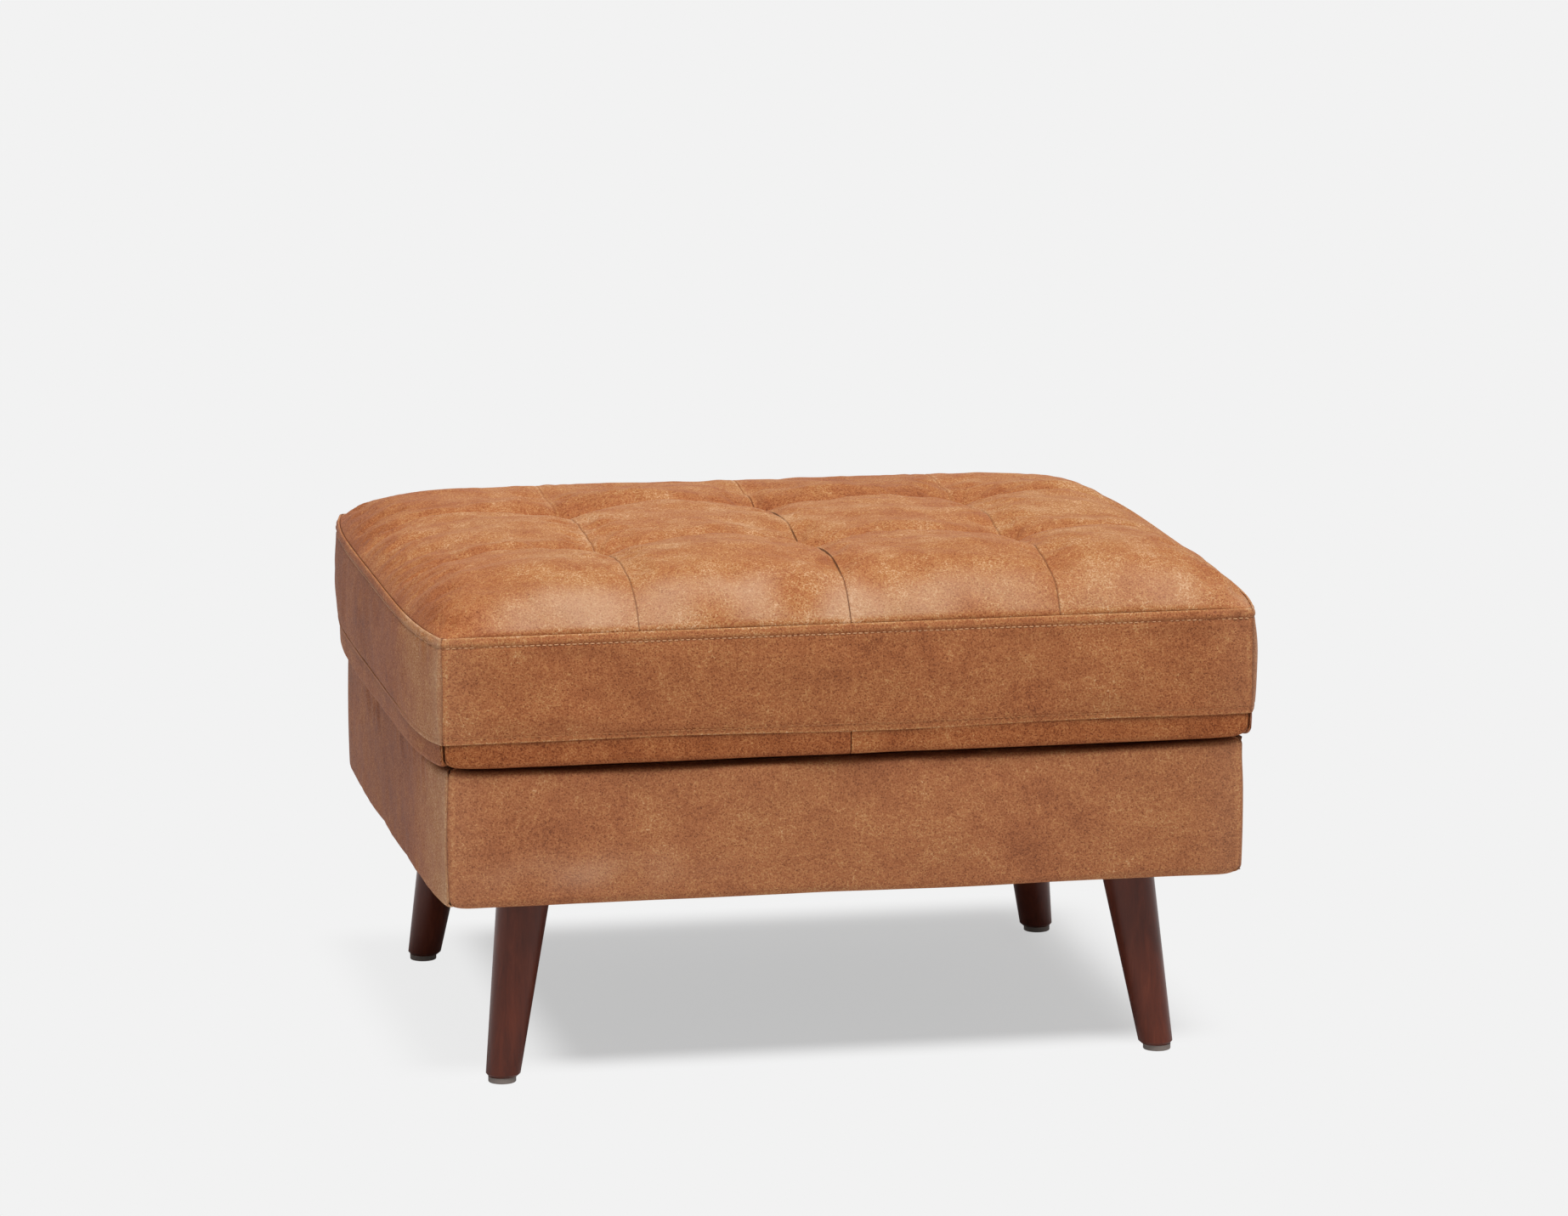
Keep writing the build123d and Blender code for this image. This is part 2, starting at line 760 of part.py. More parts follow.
with BuildPart() as foam:
    with BuildSketch(Plane.XY.offset(foam_bottom)):
        with BuildLine():
            Line((-foam_half_x, -foam_half_y), (foam_half_x, -foam_half_y))
            ThreePointArc(
                (foam_half_x, -foam_half_y), (foam_half_x + foam_end_bow, 0), (foam_half_x, foam_half_y)
            )
            Line((foam_half_x, foam_half_y), (-foam_half_x, foam_half_y))
            ThreePointArc(
                (-foam_half_x, foam_half_y), (-foam_half_x - foam_end_bow, 0), (-foam_half_x, -foam_half_y)
            )
        make_face()
    extrude(amount=foam_top - foam_bottom)
    fillet(foam.faces().sort_by(Axis.Z)[0].edges(), foam_edge_radius)
    with BuildSketch(Plane.XY.offset(foam_bottom)):
        with Locations(tuft_spots):
            Circle(tie_radius + tie_clearance)
    extrude(amount=cushion_side_height, mode=Mode.SUBTRACT)
    with BuildSketch(Plane.XY.offset(foam_bottom)):
        with Locations(tuft_spots):
            Circle(washer_radius + tie_clearance)
    extrude(amount=washer_thickness, mode=Mode.SUBTRACT)
    with BuildSketch(section_plane("back", 0)):
        with Locations((foam_half_y, zip_height)):
            Rectangle(2 * channel_depth, 2 * zip_tape_reach)
    extrude(amount=zip_half, both=True, mode=Mode.SUBTRACT)
save(foam, "foam_core")

with BuildPart() as washers:
    with BuildSketch(Plane.XY.offset(foam_bottom)):
        with Locations(tuft_spots):
            Circle(washer_radius)
    extrude(amount=washer_thickness)
save(washers, "tuft_washers")

tie_low = foam_bottom + washer_thickness

with BuildPart() as ties:
    for y, share in tuft_rows:
        tie_high = top_seam + crown_height * share - panel_thickness - face_clearance
        with BuildSketch(Plane.XY.offset(tie_low)):
            with Locations([(x, y) for x in column_edges]):
                Circle(tie_radius)
        extrude(amount=tie_high - tie_low)
save(ties, "tuft_ties")

# Zip, in the gap between the back boxing's hem and the back band

tape_back = band_half_y - cover_thickness - face_clearance
tape_front = tape_back - zip_tape_thickness
tape_width = zip_tape_reach - zip_slot / 2

with BuildPart() as tapes:
    with BuildSketch(section_plane("back", 0)):
        for turn in (-1, 1):
            with Locations((tape_back, zip_height + turn * (zip_slot + tape_width) / 2)):
                Rectangle(zip_tape_thickness, tape_width, align=(Align.MAX, Align.CENTER))
    extrude(amount=zip_half, both=True)
save(tapes, "zip_tapes")

coil_back = tape_back + coil_thickness

with BuildPart() as coils:
    with BuildSketch(section_plane("back", 0)):
        with Locations((tape_back, zip_height)):
            Rectangle(coil_thickness, zip_slot + 2 * coil_width, align=(Align.MIN, Align.CENTER))
    extrude(amount=zip_half, both=True)
    with BuildSketch(section_plane("back", 0)):
        with Locations((tape_back, zip_height)):
            Rectangle(2 * coil_thickness, zip_slot)
    extrude(amount=zip_half - coil_stop, both=True, mode=Mode.SUBTRACT)
save(coils, "zip_coils")

slider_x = zip_half - coil_stop - slider_stop_gap - slider_length / 2
plate_back = coil_back + face_clearance
plate_front = tape_front - face_clearance

with BuildPart() as slider:
    with BuildSketch(section_plane("back", slider_x)):
        with Locations((plate_back, zip_height)):
            Rectangle(slider_wall, slider_width, align=(Align.MIN, Align.CENTER))
        with Locations((plate_front, zip_height)):
            Rectangle(slider_wall, slider_width, align=(Align.MAX, Align.CENTER))
        for turn in (-1, 1):
            with Locations((plate_back, zip_height + turn * (slider_width - slider_wall) / 2)):
                Rectangle(coil_thickness, slider_wall, align=(Align.MAX, Align.CENTER))
    extrude(amount=slider_length / 2, both=True)
    with BuildSketch(section_plane("back", slider_x)):
        with Locations(((plate_back + plate_front) / 2, zip_height)):
            Rectangle(plate_back - plate_front, slider_post_width)
    extrude(amount=slider_post_length / 2, both=True)
save(slider, "zip_slider")

print("zip travel", 2 * slider_x)
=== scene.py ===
import math
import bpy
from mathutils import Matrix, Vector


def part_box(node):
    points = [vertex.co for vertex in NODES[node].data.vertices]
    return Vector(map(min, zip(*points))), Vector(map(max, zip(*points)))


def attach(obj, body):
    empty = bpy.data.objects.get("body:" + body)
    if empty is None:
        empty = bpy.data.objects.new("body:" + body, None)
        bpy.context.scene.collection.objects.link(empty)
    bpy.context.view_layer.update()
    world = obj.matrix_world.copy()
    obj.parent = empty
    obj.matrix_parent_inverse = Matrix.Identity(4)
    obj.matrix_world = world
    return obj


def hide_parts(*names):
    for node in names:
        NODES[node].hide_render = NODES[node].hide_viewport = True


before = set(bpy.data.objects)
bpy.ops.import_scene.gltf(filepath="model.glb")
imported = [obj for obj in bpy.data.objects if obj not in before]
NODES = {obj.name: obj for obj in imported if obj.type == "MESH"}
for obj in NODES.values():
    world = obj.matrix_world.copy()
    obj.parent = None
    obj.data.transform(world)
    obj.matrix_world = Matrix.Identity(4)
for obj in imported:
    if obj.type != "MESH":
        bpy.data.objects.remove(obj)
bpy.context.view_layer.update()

from types import SimpleNamespace

import bpy
import numpy as np
from mathutils import Vector
from mathutils.bvhtree import BVHTree

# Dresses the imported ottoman: leather, cloth and trim are built around the CAD frame.
# Shapes are in millimetres until make_mesh turns them into metres. Materials, sheets and the
# stage are in metres.

MM = 0.001

# The cushion and base, as the CAD has them
CUSHION_X, CUSHION_Y = 347.5, 302.0
CUSHION_BOW, CUSHION_POWER = 15.0, 5
BASE_X, BASE_Y = 342.0, 293.0
BASE_BOW, BASE_POWER = 6.0, 10
LEG_HEIGHT, BASE_TOP = 166.0, 284.0
CUSHION_LOW, LAP_EDGE, TOP_SEAM = 287.0, 309.0, 399.0
COLUMN, ROW = 180.0, 100.0
COLUMN_SEAMS, ROW_SEAMS = (-COLUMN, 0.0, COLUMN), (-ROW, ROW)
BAND_INSET = 1.9
PANEL_Y = CUSHION_Y - BAND_INSET
ZIP_HEIGHT = 304.0
LEG_TOP_X, LEG_TOP_Y, LEG_HOLE = 262.1, 202.3, 9.0
TUFTS = [(x, y) for x in COLUMN_SEAMS for y in ROW_SEAMS]
SIDES = {"front": (0, -1), "back": (0, 1), "left": (-1, 0), "right": (1, 0)}
ENDS = ("left", "right")


# Numbers

def smoothstep(value, low, high):
    t = np.clip((np.asarray(value, float) - low) / (high - low), 0, 1)
    return t * t * (3 - 2 * t)


def fade(value, low, high):
    return 1 - smoothstep(value, low, high)


def bell(value, width):
    return np.exp(-((np.asarray(value, float) / width) ** 2))


def waves(points, size, seed):
    """Smooth seeded noise of about unit height, from ten waves about size long."""
    points = np.asarray(points, float)
    rng = np.random.default_rng(seed)
    total = np.zeros(points.shape[:-1])
    for _ in range(10):
        direction = rng.normal(size=points.shape[-1])
        direction /= np.linalg.norm(direction)
        length = size * rng.uniform(0.7, 1.5)
        total = total + np.sin(points @ direction * (2 * math.pi / length) + rng.uniform(0, 6.283))
    return total * math.sqrt(2 / 10)


def ripples(points, *sets):
    """Waves of several sizes together. Each set is a size, a height and a seed."""
    return sum(waves(points, size, seed) * height for size, height, seed in sets)


# Meshes

def turn_outward(mesh):
    """Makes a closed mesh's faces point outward."""
    mesh.calc_loop_triangles()
    tri = np.zeros(len(mesh.loop_triangles) * 3, int)
    mesh.loop_triangles.foreach_get("vertices", tri)
    co = np.zeros(len(mesh.vertices) * 3)
    mesh.vertices.foreach_get("co", co)
    a, b, c = (co.reshape(-1, 3)[tri.reshape(-1, 3)[:, k]] for k in range(3))
    if np.einsum("ij,ij->", a, np.cross(b, c)) < 0:
        mesh.flip_normals()


def new_object(name, data):
    obj = bpy.data.objects.new(name, data)
    bpy.context.scene.collection.objects.link(obj)
    return obj


def make_mesh(name, verts, faces, material, body, attributes=None, smooth=True):
    """A closed mesh object from points in millimetres, riding on a CAD body."""
    mesh = bpy.data.meshes.new(name)
    mesh.from_pydata((np.asarray(verts, float) * MM).tolist(), [], faces)
    for key, values in (attributes or {}).items():
        values = np.asarray(values, np.float32)
        kind, field = ("FLOAT_VECTOR", "vector") if values.ndim == 2 else ("FLOAT", "value")
        mesh.attributes.new(key, kind, "POINT").data.foreach_set(field, values.ravel())
    if smooth:
        mesh.polygons.foreach_set("use_smooth", np.ones(len(mesh.polygons), bool))
    mesh.update()
    mesh.materials.append(material)
    turn_outward(mesh)
    obj = new_object(name, mesh)
    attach(obj, body)
    return obj


def grid_faces(count_u, count_v, start=0, close_v=False):
    """Quads of a grid whose vertices run along v first."""
    faces = []
    last = count_v if close_v else count_v - 1
    for i in range(count_u - 1):
        a, b = start + i * count_v, start + (i + 1) * count_v
        for j in range(last):
            k = (j + 1) % count_v
            faces.append((a + j, b + j, b + k, a + k))
    return faces


def tube_faces(count_u, count_v, start=0):
    """Faces of a tube of count_u rings of count_v points, capped at both ends."""
    last = start + (count_u - 1) * count_v
    return grid_faces(count_u, count_v, start, True) + [
        tuple(range(start, start + count_v)), tuple(range(last, last + count_v))[::-1]]


# Materials

class Nodes:
    """A node tree, with short calls for the common nodes."""

    def __init__(self, tree):
        self.tree = tree
        tree.nodes.clear()

    def put(self, socket, value):
        if isinstance(value, bpy.types.NodeSocket):
            self.tree.links.new(value, socket)
        elif isinstance(value, tuple) and len(value) == 3 and socket.type == "RGBA":
            socket.default_value = (*value, 1)
        else:
            socket.default_value = value

    def add(self, kind, settings=None, inputs=None):
        made = self.tree.nodes.new(kind)
        for key, value in (settings or {}).items():
            setattr(made, key, value)
        for key, value in (inputs or {}).items():
            self.put(made.inputs[key], value)
        return made

    def calc(self, operation, *values, clamp=False):
        made = self.add("ShaderNodeMath", {"operation": operation, "use_clamp": clamp})
        for socket, value in zip(made.inputs, values):
            self.put(socket, value)
        return made.outputs[0]

    def total(self, first, *values):
        for value in values:
            first = self.calc("ADD", first, value)
        return first

    def times(self, *values):
        return self.calc("MULTIPLY", *values)

    def scaled(self, value, low, high):
        """A value from 0 to 1 spread over low to high."""
        return self.calc("MULTIPLY_ADD", value, high - low, low)

    def span(self, value, from_low, from_high, to_low, to_high, kind="LINEAR"):
        return self.add("ShaderNodeMapRange", {"interpolation_type": kind}, {
            0: value, 1: from_low, 2: from_high, 3: to_low, 4: to_high}).outputs[0]

    def mix(self, factor, a, b, blend="MIX"):
        return self.add("ShaderNodeMix", {"data_type": "RGBA", "blend_type": blend}, {
            0: factor, 6: a, 7: b}).outputs[2]

    def ramp(self, factor, stops):
        made = self.add("ShaderNodeValToRGB", None, {0: factor})
        elements = made.color_ramp.elements
        while len(elements) < len(stops):
            elements.new(0.5)
        for element, (place, colour) in zip(elements, stops):
            element.position = place
            element.color = (*colour, 1)
        return made.outputs[0]

    def noise(self, vector, scale, detail=2.0, roughness=0.5, distortion=0.0, out=0):
        return self.add("ShaderNodeTexNoise", None, {
            "Vector": vector, "Scale": scale, "Detail": detail, "Roughness": roughness,
            "Distortion": distortion}).outputs[out]

    def cells(self, vector, scale, feature="F1"):
        return self.add("ShaderNodeTexVoronoi", {"feature": feature}, {
            "Vector": vector, "Scale": scale}).outputs["Distance"]

    def attribute(self, name, out="Fac"):
        return self.add("ShaderNodeAttribute", {"attribute_name": name}).outputs[out]

    def place(self, stretch=(1, 1, 1)):
        coordinate = self.add("ShaderNodeTexCoord").outputs["Object"]
        return self.add("ShaderNodeMapping", None, {
            "Vector": coordinate, "Scale": stretch}).outputs[0]

    def mix_shaders(self, factor, a, b):
        return self.add("ShaderNodeMixShader", None, {
            0: factor, 1: a.outputs[0], 2: b.outputs[0]}).outputs[0]

    def ray(self, kind):
        return self.add("ShaderNodeLightPath").outputs[kind]

    def bump(self, height, distance, strength):
        return self.add("ShaderNodeBump", None, {
            "Height": height, "Distance": distance, "Strength": strength}).outputs[0]


class Material(Nodes):
    def __init__(self, name):
        self.material = bpy.data.materials.new(name)
        self.material.use_nodes = True
        super().__init__(self.material.node_tree)
        self.out = self.add("ShaderNodeOutputMaterial")
        self.shader = self.add("ShaderNodeBsdfPrincipled")
        self.put(self.out.inputs[0], self.shader.outputs[0])

    def finish(self, **sockets):
        for key, value in sockets.items():
            self.put(self.shader.inputs[key.replace("_", " ")], value)
        return self.material


def dimmed(colour, share):
    return tuple(min(1.0, c * share) for c in colour)


LEATHER_STOPS = (
    (0.0, (0.150, 0.035, 0.009)),
    (0.25, (0.275, 0.078, 0.021)),
    (0.5, (0.385, 0.131, 0.043)),
    (0.72, (0.456, 0.202, 0.067)),
    (0.88, (0.536, 0.290, 0.131)),
    (1.0, (0.660, 0.400, 0.235)),
)
# pale leather, for wear and for painted sheen and highlights
PALE_WEAR_AND_SHEEN = (0.585, 0.372, 0.240)
RED_DYE = (1.0, 0.88, 0.92)
# dark for seam lines and for painted shade
SEAMS_AND_PAINTED_SHADE = (0.095, 0.027, 0.010)


def leather():
    """Pull-up leather. Its texture follows the attribute cut, each panel's place on the hide."""
    t = Material("leather")
    cut = t.attribute("cut", "Vector")
    patches = t.noise(cut, 9.0, 3.0, 0.55, 0.6)
    clouds = t.noise(cut, 34.0, 5.0, 0.62, 0.5)
    mottling = t.noise(cut, 150.0, 5.0, 0.7, 0.2)
    wander = t.add("ShaderNodeVectorMath", {"operation": "SCALE"}, {
        0: t.noise(cut, 60.0, 3.0, 0.6, 0.0, "Color"), "Scale": 0.008}).outputs[0]
    warped = t.add("ShaderNodeVectorMath", {"operation": "ADD"}, {0: cut, 1: wander}).outputs[0]
    crackle = t.cells(warped, 105.0, "DISTANCE_TO_EDGE")
    network = t.cells(warped, 290.0, "DISTANCE_TO_EDGE")
    pebble = t.cells(cut, 540.0)
    fine = t.noise(cut, 640.0, 3.0, 0.7)

    clusters = t.span(t.noise(cut, 21.0, 3.0, 0.6), 0.42, 0.64, 0.03, 0.17)
    lines = t.times(t.span(crackle, 0.0, 0.06, 1.0, 0.0), clusters)
    lines = t.calc("MULTIPLY_ADD", t.span(network, 0.0, 0.14, 0.27, 0.0),
                   t.span(clouds, 0.35, 0.6, 0.4, 1.0), lines)
    pits = t.span(pebble, 0.1, 0.36, 0.40, 0.0)
    # the tone attribute brings each panel's tone and painted shade
    factor = t.total(t.scaled(patches, -0.20, 0.20), t.scaled(clouds, -0.19, 0.19),
                     t.scaled(mottling, -0.26, 0.26), t.scaled(fine, -0.66, 0.66),
                     t.attribute("tone"), lines)
    # the fold attribute lightens folds: paler stretched leather and a painted highlight on rolled
    # edges
    factor = t.total(t.calc("SUBTRACT", factor, pits), t.times(t.attribute("fold"), 0.3))
    colour = t.ramp(t.calc("ADD", factor, 0.53, clamp=True), LEATHER_STOPS)
    # the worn attribute mixes in pale leather: wear, a painted sheen along the top's front edge and
    # painted highlights at the corners
    rubbed_and_sheen = t.times(t.attribute("worn"), t.span(fine, 0.3, 0.6, 0.40, 0.60))
    colour = t.mix(rubbed_and_sheen, colour, PALE_WEAR_AND_SHEEN)
    # the dye leans to red in some places and to yellow in others
    hue = t.span(t.noise(cut, 5.0, 2.0, 0.5, 0.3), 0.35, 0.65, 0.0, 1.0)
    colour = t.mix(t.times(hue, 0.32), colour, RED_DYE, "MULTIPLY")
    # the seam attribute darkens seam lines and paints shade in gaps, under the hem, in the tuft
    # pits and along the top's edge
    colour = t.mix(t.attribute("seam"), colour, SEAMS_AND_PAINTED_SHADE)

    height = t.total(t.times(t.span(pebble, 0.1, 0.5, 0.0, 1.0), 0.8), t.times(fine, 0.8),
                     t.times(mottling, 1.2))
    height = t.calc("SUBTRACT", height, t.times(lines, 1.2))
    rough = t.total(t.scaled(clouds, 0.54, 0.70), t.times(pits, 0.5))
    return t.finish(Base_Color=colour, Roughness=rough, Normal=t.bump(height, 0.0004, 0.8),
                    Specular_IOR_Level=0.22, IOR=1.42)


def stained_wood():
    t = Material("stained_wood")
    grain = t.noise(t.place((1, 1, 0.12)), 160.0, 6.0, 0.65, 0.8)
    cloud = t.noise(t.place(), 14.0, 3.0, 0.5, 0.3)
    pores = t.noise(t.place((1, 1, 0.03)), 900.0, 2.0, 0.6)
    factor = t.calc("ADD", t.scaled(grain, -0.2, 0.7), t.scaled(cloud, -0.1, 0.5), clamp=True)
    colour = t.ramp(factor, ((0.0, (0.034, 0.0066, 0.0033)), (0.5, (0.115, 0.0220, 0.0090)),
                             (1.0, (0.215, 0.048, 0.021))))
    height = t.total(t.times(grain, 0.4), pores)
    return t.finish(Base_Color=colour, Roughness=t.scaled(cloud, 0.26, 0.38),
                    Specular_IOR_Level=0.3, Normal=t.bump(height, 0.00008, 0.5))


def sawn_wood():
    t = Material("sawn_wood")
    grain = t.noise(t.place((0.08, 1, 1)), 150.0, 6.0, 0.6, 1.2)
    cloud = t.noise(t.place(), 9.0, 3.0, 0.5)
    factor = t.calc("ADD", t.scaled(grain, -0.15, 0.75), t.scaled(cloud, -0.1, 0.4), clamp=True)
    colour = t.ramp(factor, ((0.0, (0.33, 0.20, 0.10)), (0.5, (0.52, 0.36, 0.2)),
                             (1.0, (0.66, 0.5, 0.31))))
    return t.finish(Base_Color=colour, Roughness=t.scaled(grain, 0.55, 0.75),
                    Normal=t.bump(grain, 0.0003, 0.6))


def plain_metal(name, colour, rough):
    t = Material(name)
    scratch = t.noise(t.place((1, 1, 0.2)), 700.0, 4.0, 0.6)
    cloud = t.noise(t.place(), 60.0, 3.0, 0.5)
    tint = t.mix(t.scaled(cloud, 0.0, 0.5), colour, dimmed(colour, 0.6))
    return t.finish(Base_Color=tint, Metallic=1.0,
                    Roughness=t.scaled(scratch, rough - 0.1, rough + 0.15),
                    Normal=t.bump(scratch, 0.00005, 0.4))


def moulded(name, colour, rough):
    t = Material(name)
    speck = t.noise(t.place(), 900.0, 4.0, 0.7)
    cloud = t.noise(t.place(), 50.0, 3.0, 0.5)
    tint = t.mix(t.scaled(cloud, 0.0, 0.6), colour, dimmed(colour, 0.65))
    return t.finish(Base_Color=tint, Roughness=t.scaled(cloud, rough - 0.06, rough + 0.1),
                    Normal=t.bump(speck, 0.00008, 0.5))


def cloth(name, colour, pitch, fuzz=0.4, depth=0.00025, second=1):
    """A plain weave of the given thread pitch in metres, over x and a second axis."""
    t = Material(name)
    place = t.place()
    split = t.add("ShaderNodeSeparateXYZ", None, {0: place})
    across, along = (t.calc("SINE", t.times(split.outputs[axis], 2 * math.pi / pitch))
                     for axis in (0, second))
    weave = t.scaled(t.times(across, along), 0.5, 1.0)
    hair = t.noise(place, 1300.0, 4.0, 0.7)
    cloud = t.noise(place, 18.0, 3.0, 0.55)
    height = t.total(weave, t.times(hair, fuzz))
    factor = t.calc("ADD", t.times(weave, 0.45), t.times(cloud, 0.5), clamp=True)
    tint = t.mix(factor, dimmed(colour, 0.55), dimmed(colour, 1.45))
    return t.finish(Base_Color=tint, Roughness=t.scaled(hair, 0.8, 0.98), Sheen_Weight=0.15,
                    Sheen_Roughness=0.5, Normal=t.bump(height, depth, 0.7))


def thread(name, colour):
    t = Material(name)
    twist = t.noise(t.place(), 2500.0, 2.0, 0.6)
    tint = t.mix(twist, dimmed(colour, 0.7), colour)
    return t.finish(Base_Color=tint, Roughness=t.scaled(twist, 0.45, 0.7), Specular_IOR_Level=0.25,
                    Normal=t.bump(twist, 0.0001, 0.6))


LEATHER = leather()
WOOD = stained_wood()
FRAME_WOOD = sawn_wood()
STEEL = plain_metal("zinc_steel", (0.62, 0.61, 0.58), 0.38)
NICKEL = plain_metal("aged_nickel", (0.42, 0.37, 0.30), 0.34)
GLIDE = moulded("glide_plastic", (0.25, 0.205, 0.18), 0.5)
COIL = moulded("zip_nylon", (0.10, 0.048, 0.028), 0.4)
BLACK_CLOTH = cloth("platform_cloth", (0.028, 0.026, 0.025), 0.0012)
DUST_CLOTH = cloth("dust_cloth", (0.020, 0.020, 0.021), 0.0022, 0.8)
TAPE = cloth("zip_tape", (0.13, 0.062, 0.035), 0.0009, second=2)
WEBBING = cloth("webbing", (0.16, 0.125, 0.095), 0.0024, 0.6, 0.0005)
LOOPS = cloth("loop_tape", (0.035, 0.030, 0.028), 0.0016, 2.0, 0.0006)
HOOKS = cloth("hook_tape", (0.030, 0.026, 0.025), 0.0011, 0.5, 0.0006)
CREAM_THREAD = thread("cream_thread", (0.76, 0.41, 0.21))
TAN_THREAD = thread("tan_thread", (0.47, 0.19, 0.07))
BLACK_THREAD = thread("black_thread", (0.05, 0.045, 0.04))


# Panels that run round a side

SEAM_ROLL, SEAM_TUCK = 1.2, 2.2  # at a corner seam the leather rolls in and is tucked
PATH_STEP = 3.0
SAFE_DEPTH = 4.0  # parts further in than this keep to the mitres


def side_shape(side, half_x, half_y, bow):
    """Half the length of a side, its distance from the middle, and how far it bows."""
    return (half_y, half_x, bow) if side in ENDS else (half_x, half_y, 0.0)


def side_path(side, half_x, half_y, bow, power, corner):
    """The line of one side in plan, with its outward directions. Both ends round the corner
    halfway and then roll into its seam. Also each point's distance from the seam."""
    half_a, half_b, bow_here = side_shape(side, half_x, half_y, bow)
    lean = math.atan(bow_here * power / half_a)
    lean_next = math.atan((0.0 if side in ENDS else bow) * power / half_y)
    turn = math.pi / 2 - lean - lean_next
    tangent = np.array([math.cos(lean), -math.sin(lean)])
    outward = np.array([math.sin(lean), math.cos(lean)])
    start = np.array([half_a, half_b]) - tangent * (corner * math.tan(turn / 2))
    centre = start - outward * corner
    stop = turn / 2 - (SEAM_ROLL + 0.1) / corner
    points, normals = [], []
    for angle in np.linspace(0, stop, 5):
        n = outward * math.cos(angle) + tangent * math.sin(angle)
        points.append(centre + n * corner)
        normals.append(n)
    n0 = normals[-1]
    t0 = tangent * math.cos(stop) - outward * math.sin(stop)
    hub = points[-1] - n0 * SEAM_ROLL
    for angle in np.linspace(0, math.pi / 2, 6)[1:]:
        n = n0 * math.cos(angle) + t0 * math.sin(angle)
        points.append(hub + n * SEAM_ROLL)
        normals.append(n)
    for depth in (0.5 * SEAM_TUCK, SEAM_TUCK):
        points.append(hub + t0 * SEAM_ROLL - n0 * depth)
        normals.append(t0)
    limit = start[0]
    body = np.linspace(-limit, limit, int(2 * limit / PATH_STEP) | 1)
    share = np.abs(body) / half_a
    line = np.stack([body, half_b + bow_here * (1 - share**power)], 1)
    # the tangent at the rounding's start is the one at the corner, so a short blend meets it
    ease = smoothstep(np.abs(body), limit - 12, limit)
    line[:, 1] += ease * (start[1] - (half_b + bow_here * (1 - (limit / half_a) ** power)))
    tilt = bow_here * power / half_a * share ** (power - 1) * np.sign(body)
    flat_normals = np.stack([tilt, np.ones(len(body))], 1)
    flat_normals /= np.linalg.norm(flat_normals, axis=1)[:, None]
    mirror = np.array([-1, 1])

    def both_ends(corner_rows, middle):
        corner_rows = np.array(corner_rows[1:])
        return np.concatenate([corner_rows[::-1] * mirror, middle, corner_rows])

    path = both_ends(points, line)
    along = np.concatenate([[0], np.cumsum(np.linalg.norm(np.diff(path, axis=0), axis=1))])
    seam = np.minimum(along, along[-1] - along)[:, None]
    return SimpleNamespace(side=side, path=path, outs=both_ends(normals, flat_normals),
                           along=along[:, None], seam=seam, half_a=half_a, half_b=half_b)


def run_waves(run, size, seed):
    """Seeded waves along a side, the same at every height."""
    return waves(np.concatenate([run.along, run.along * 0], 1), size, seed)[:, None]


def to_world(side, local):
    """Local (along, outward) to world (x, y)."""
    out_x, out_y = SIDES[side]
    return local[..., :1] * np.array([-out_y, out_x]) + local[..., 1:2] * np.array([out_x, out_y])


def sweep_side(run, profile, bulge=0.0):
    """Points of a profile (outward, height) carried along a side."""
    reach = np.repeat(profile[None, :, 0], len(run.path), 0) + bulge
    far = np.minimum(reach + SAFE_DEPTH, 0)
    local = run.path[:, None, :] + run.outs[:, None, :] * np.maximum(reach, -SAFE_DEPTH)[..., None]
    shrink = 1 + far / (run.half_a - SAFE_DEPTH)
    plan = to_world(run.side, np.stack([local[..., 0] * shrink, local[..., 1] + far], -1))
    heights = np.repeat(profile[None, :, 1], len(run.path), 0)
    return np.concatenate([plan, heights[..., None]], -1)


def leather_strip(node, points, body, shift, **looks):
    """A closed strip of leather from swept rings, cut from the hide at shift in metres. looks are
    its tone and painted shade, its wear and painted sheen, its paler folds and painted highlights,
    and its dark seams and painted shade."""
    attributes = {"cut": points.reshape(-1, 3) * MM + np.asarray(shift)}
    for key, value in looks.items():
        value = value if key in ("tone", "fold") else np.clip(value, 0, 1)
        attributes[key] = np.broadcast_to(value, points.shape[:2]).ravel()
    return make_mesh(f"{node}_leather", points.reshape(-1, 3), tube_faces(*points.shape[:2]),
                     LEATHER, body, attributes)


def arc(centre, radius, start, stop, count):
    """Profile points round a centre, angles in degrees from straight out towards up."""
    return [(centre[0] + radius * math.cos(math.radians(a)),
             centre[1] + radius * math.sin(math.radians(a)))
            for a in np.linspace(start, stop, count)]


def corner_wear_and_highlight(run, even):
    """The leather is paler beside the corner seams, most on the short sides: rubbed wear, and on
    the short sides a painted highlight where the rounded corner turns to the light.
    """
    if run.side in ENDS:
        return 0.45 * bell(run.seam - 4, 16) + 0.14 * bell(run.seam, 75)
    return even + 0.12 * bell(run.seam - 4, 30)


def side_tone(side, points):
    """How dark each side is, in part painted shade. The left end darkens towards the back with
    painted shade, and the other sides darken towards the right.
    """
    tone = {"front": -0.15, "back": -0.1, "left": 0.06, "right": -0.14}[side]
    if side == "left":
        return tone - 0.38 * smoothstep(points[..., 1], -290, -90)
    return tone - 0.04 * smoothstep(points[..., 0], -60, 260)


def settling(run, number):
    """The cushion settles a little, so the hem line isn't quite straight."""
    return run_waves(run, 420, 50 + number) * 0.8 * smoothstep(run.seam, 3, 40)


# Boxing round the cushion: a folded and topstitched upper edge, a bulging face and a folded hem

LEAN = 2.4  # the filling pushes the right end out
TOP_STITCH = TOP_SEAM - 7.7
HEM_STITCH = LAP_EDGE + 5.2
BOXING_CORNER, BOXING_WEAR = 5.0, 0.08


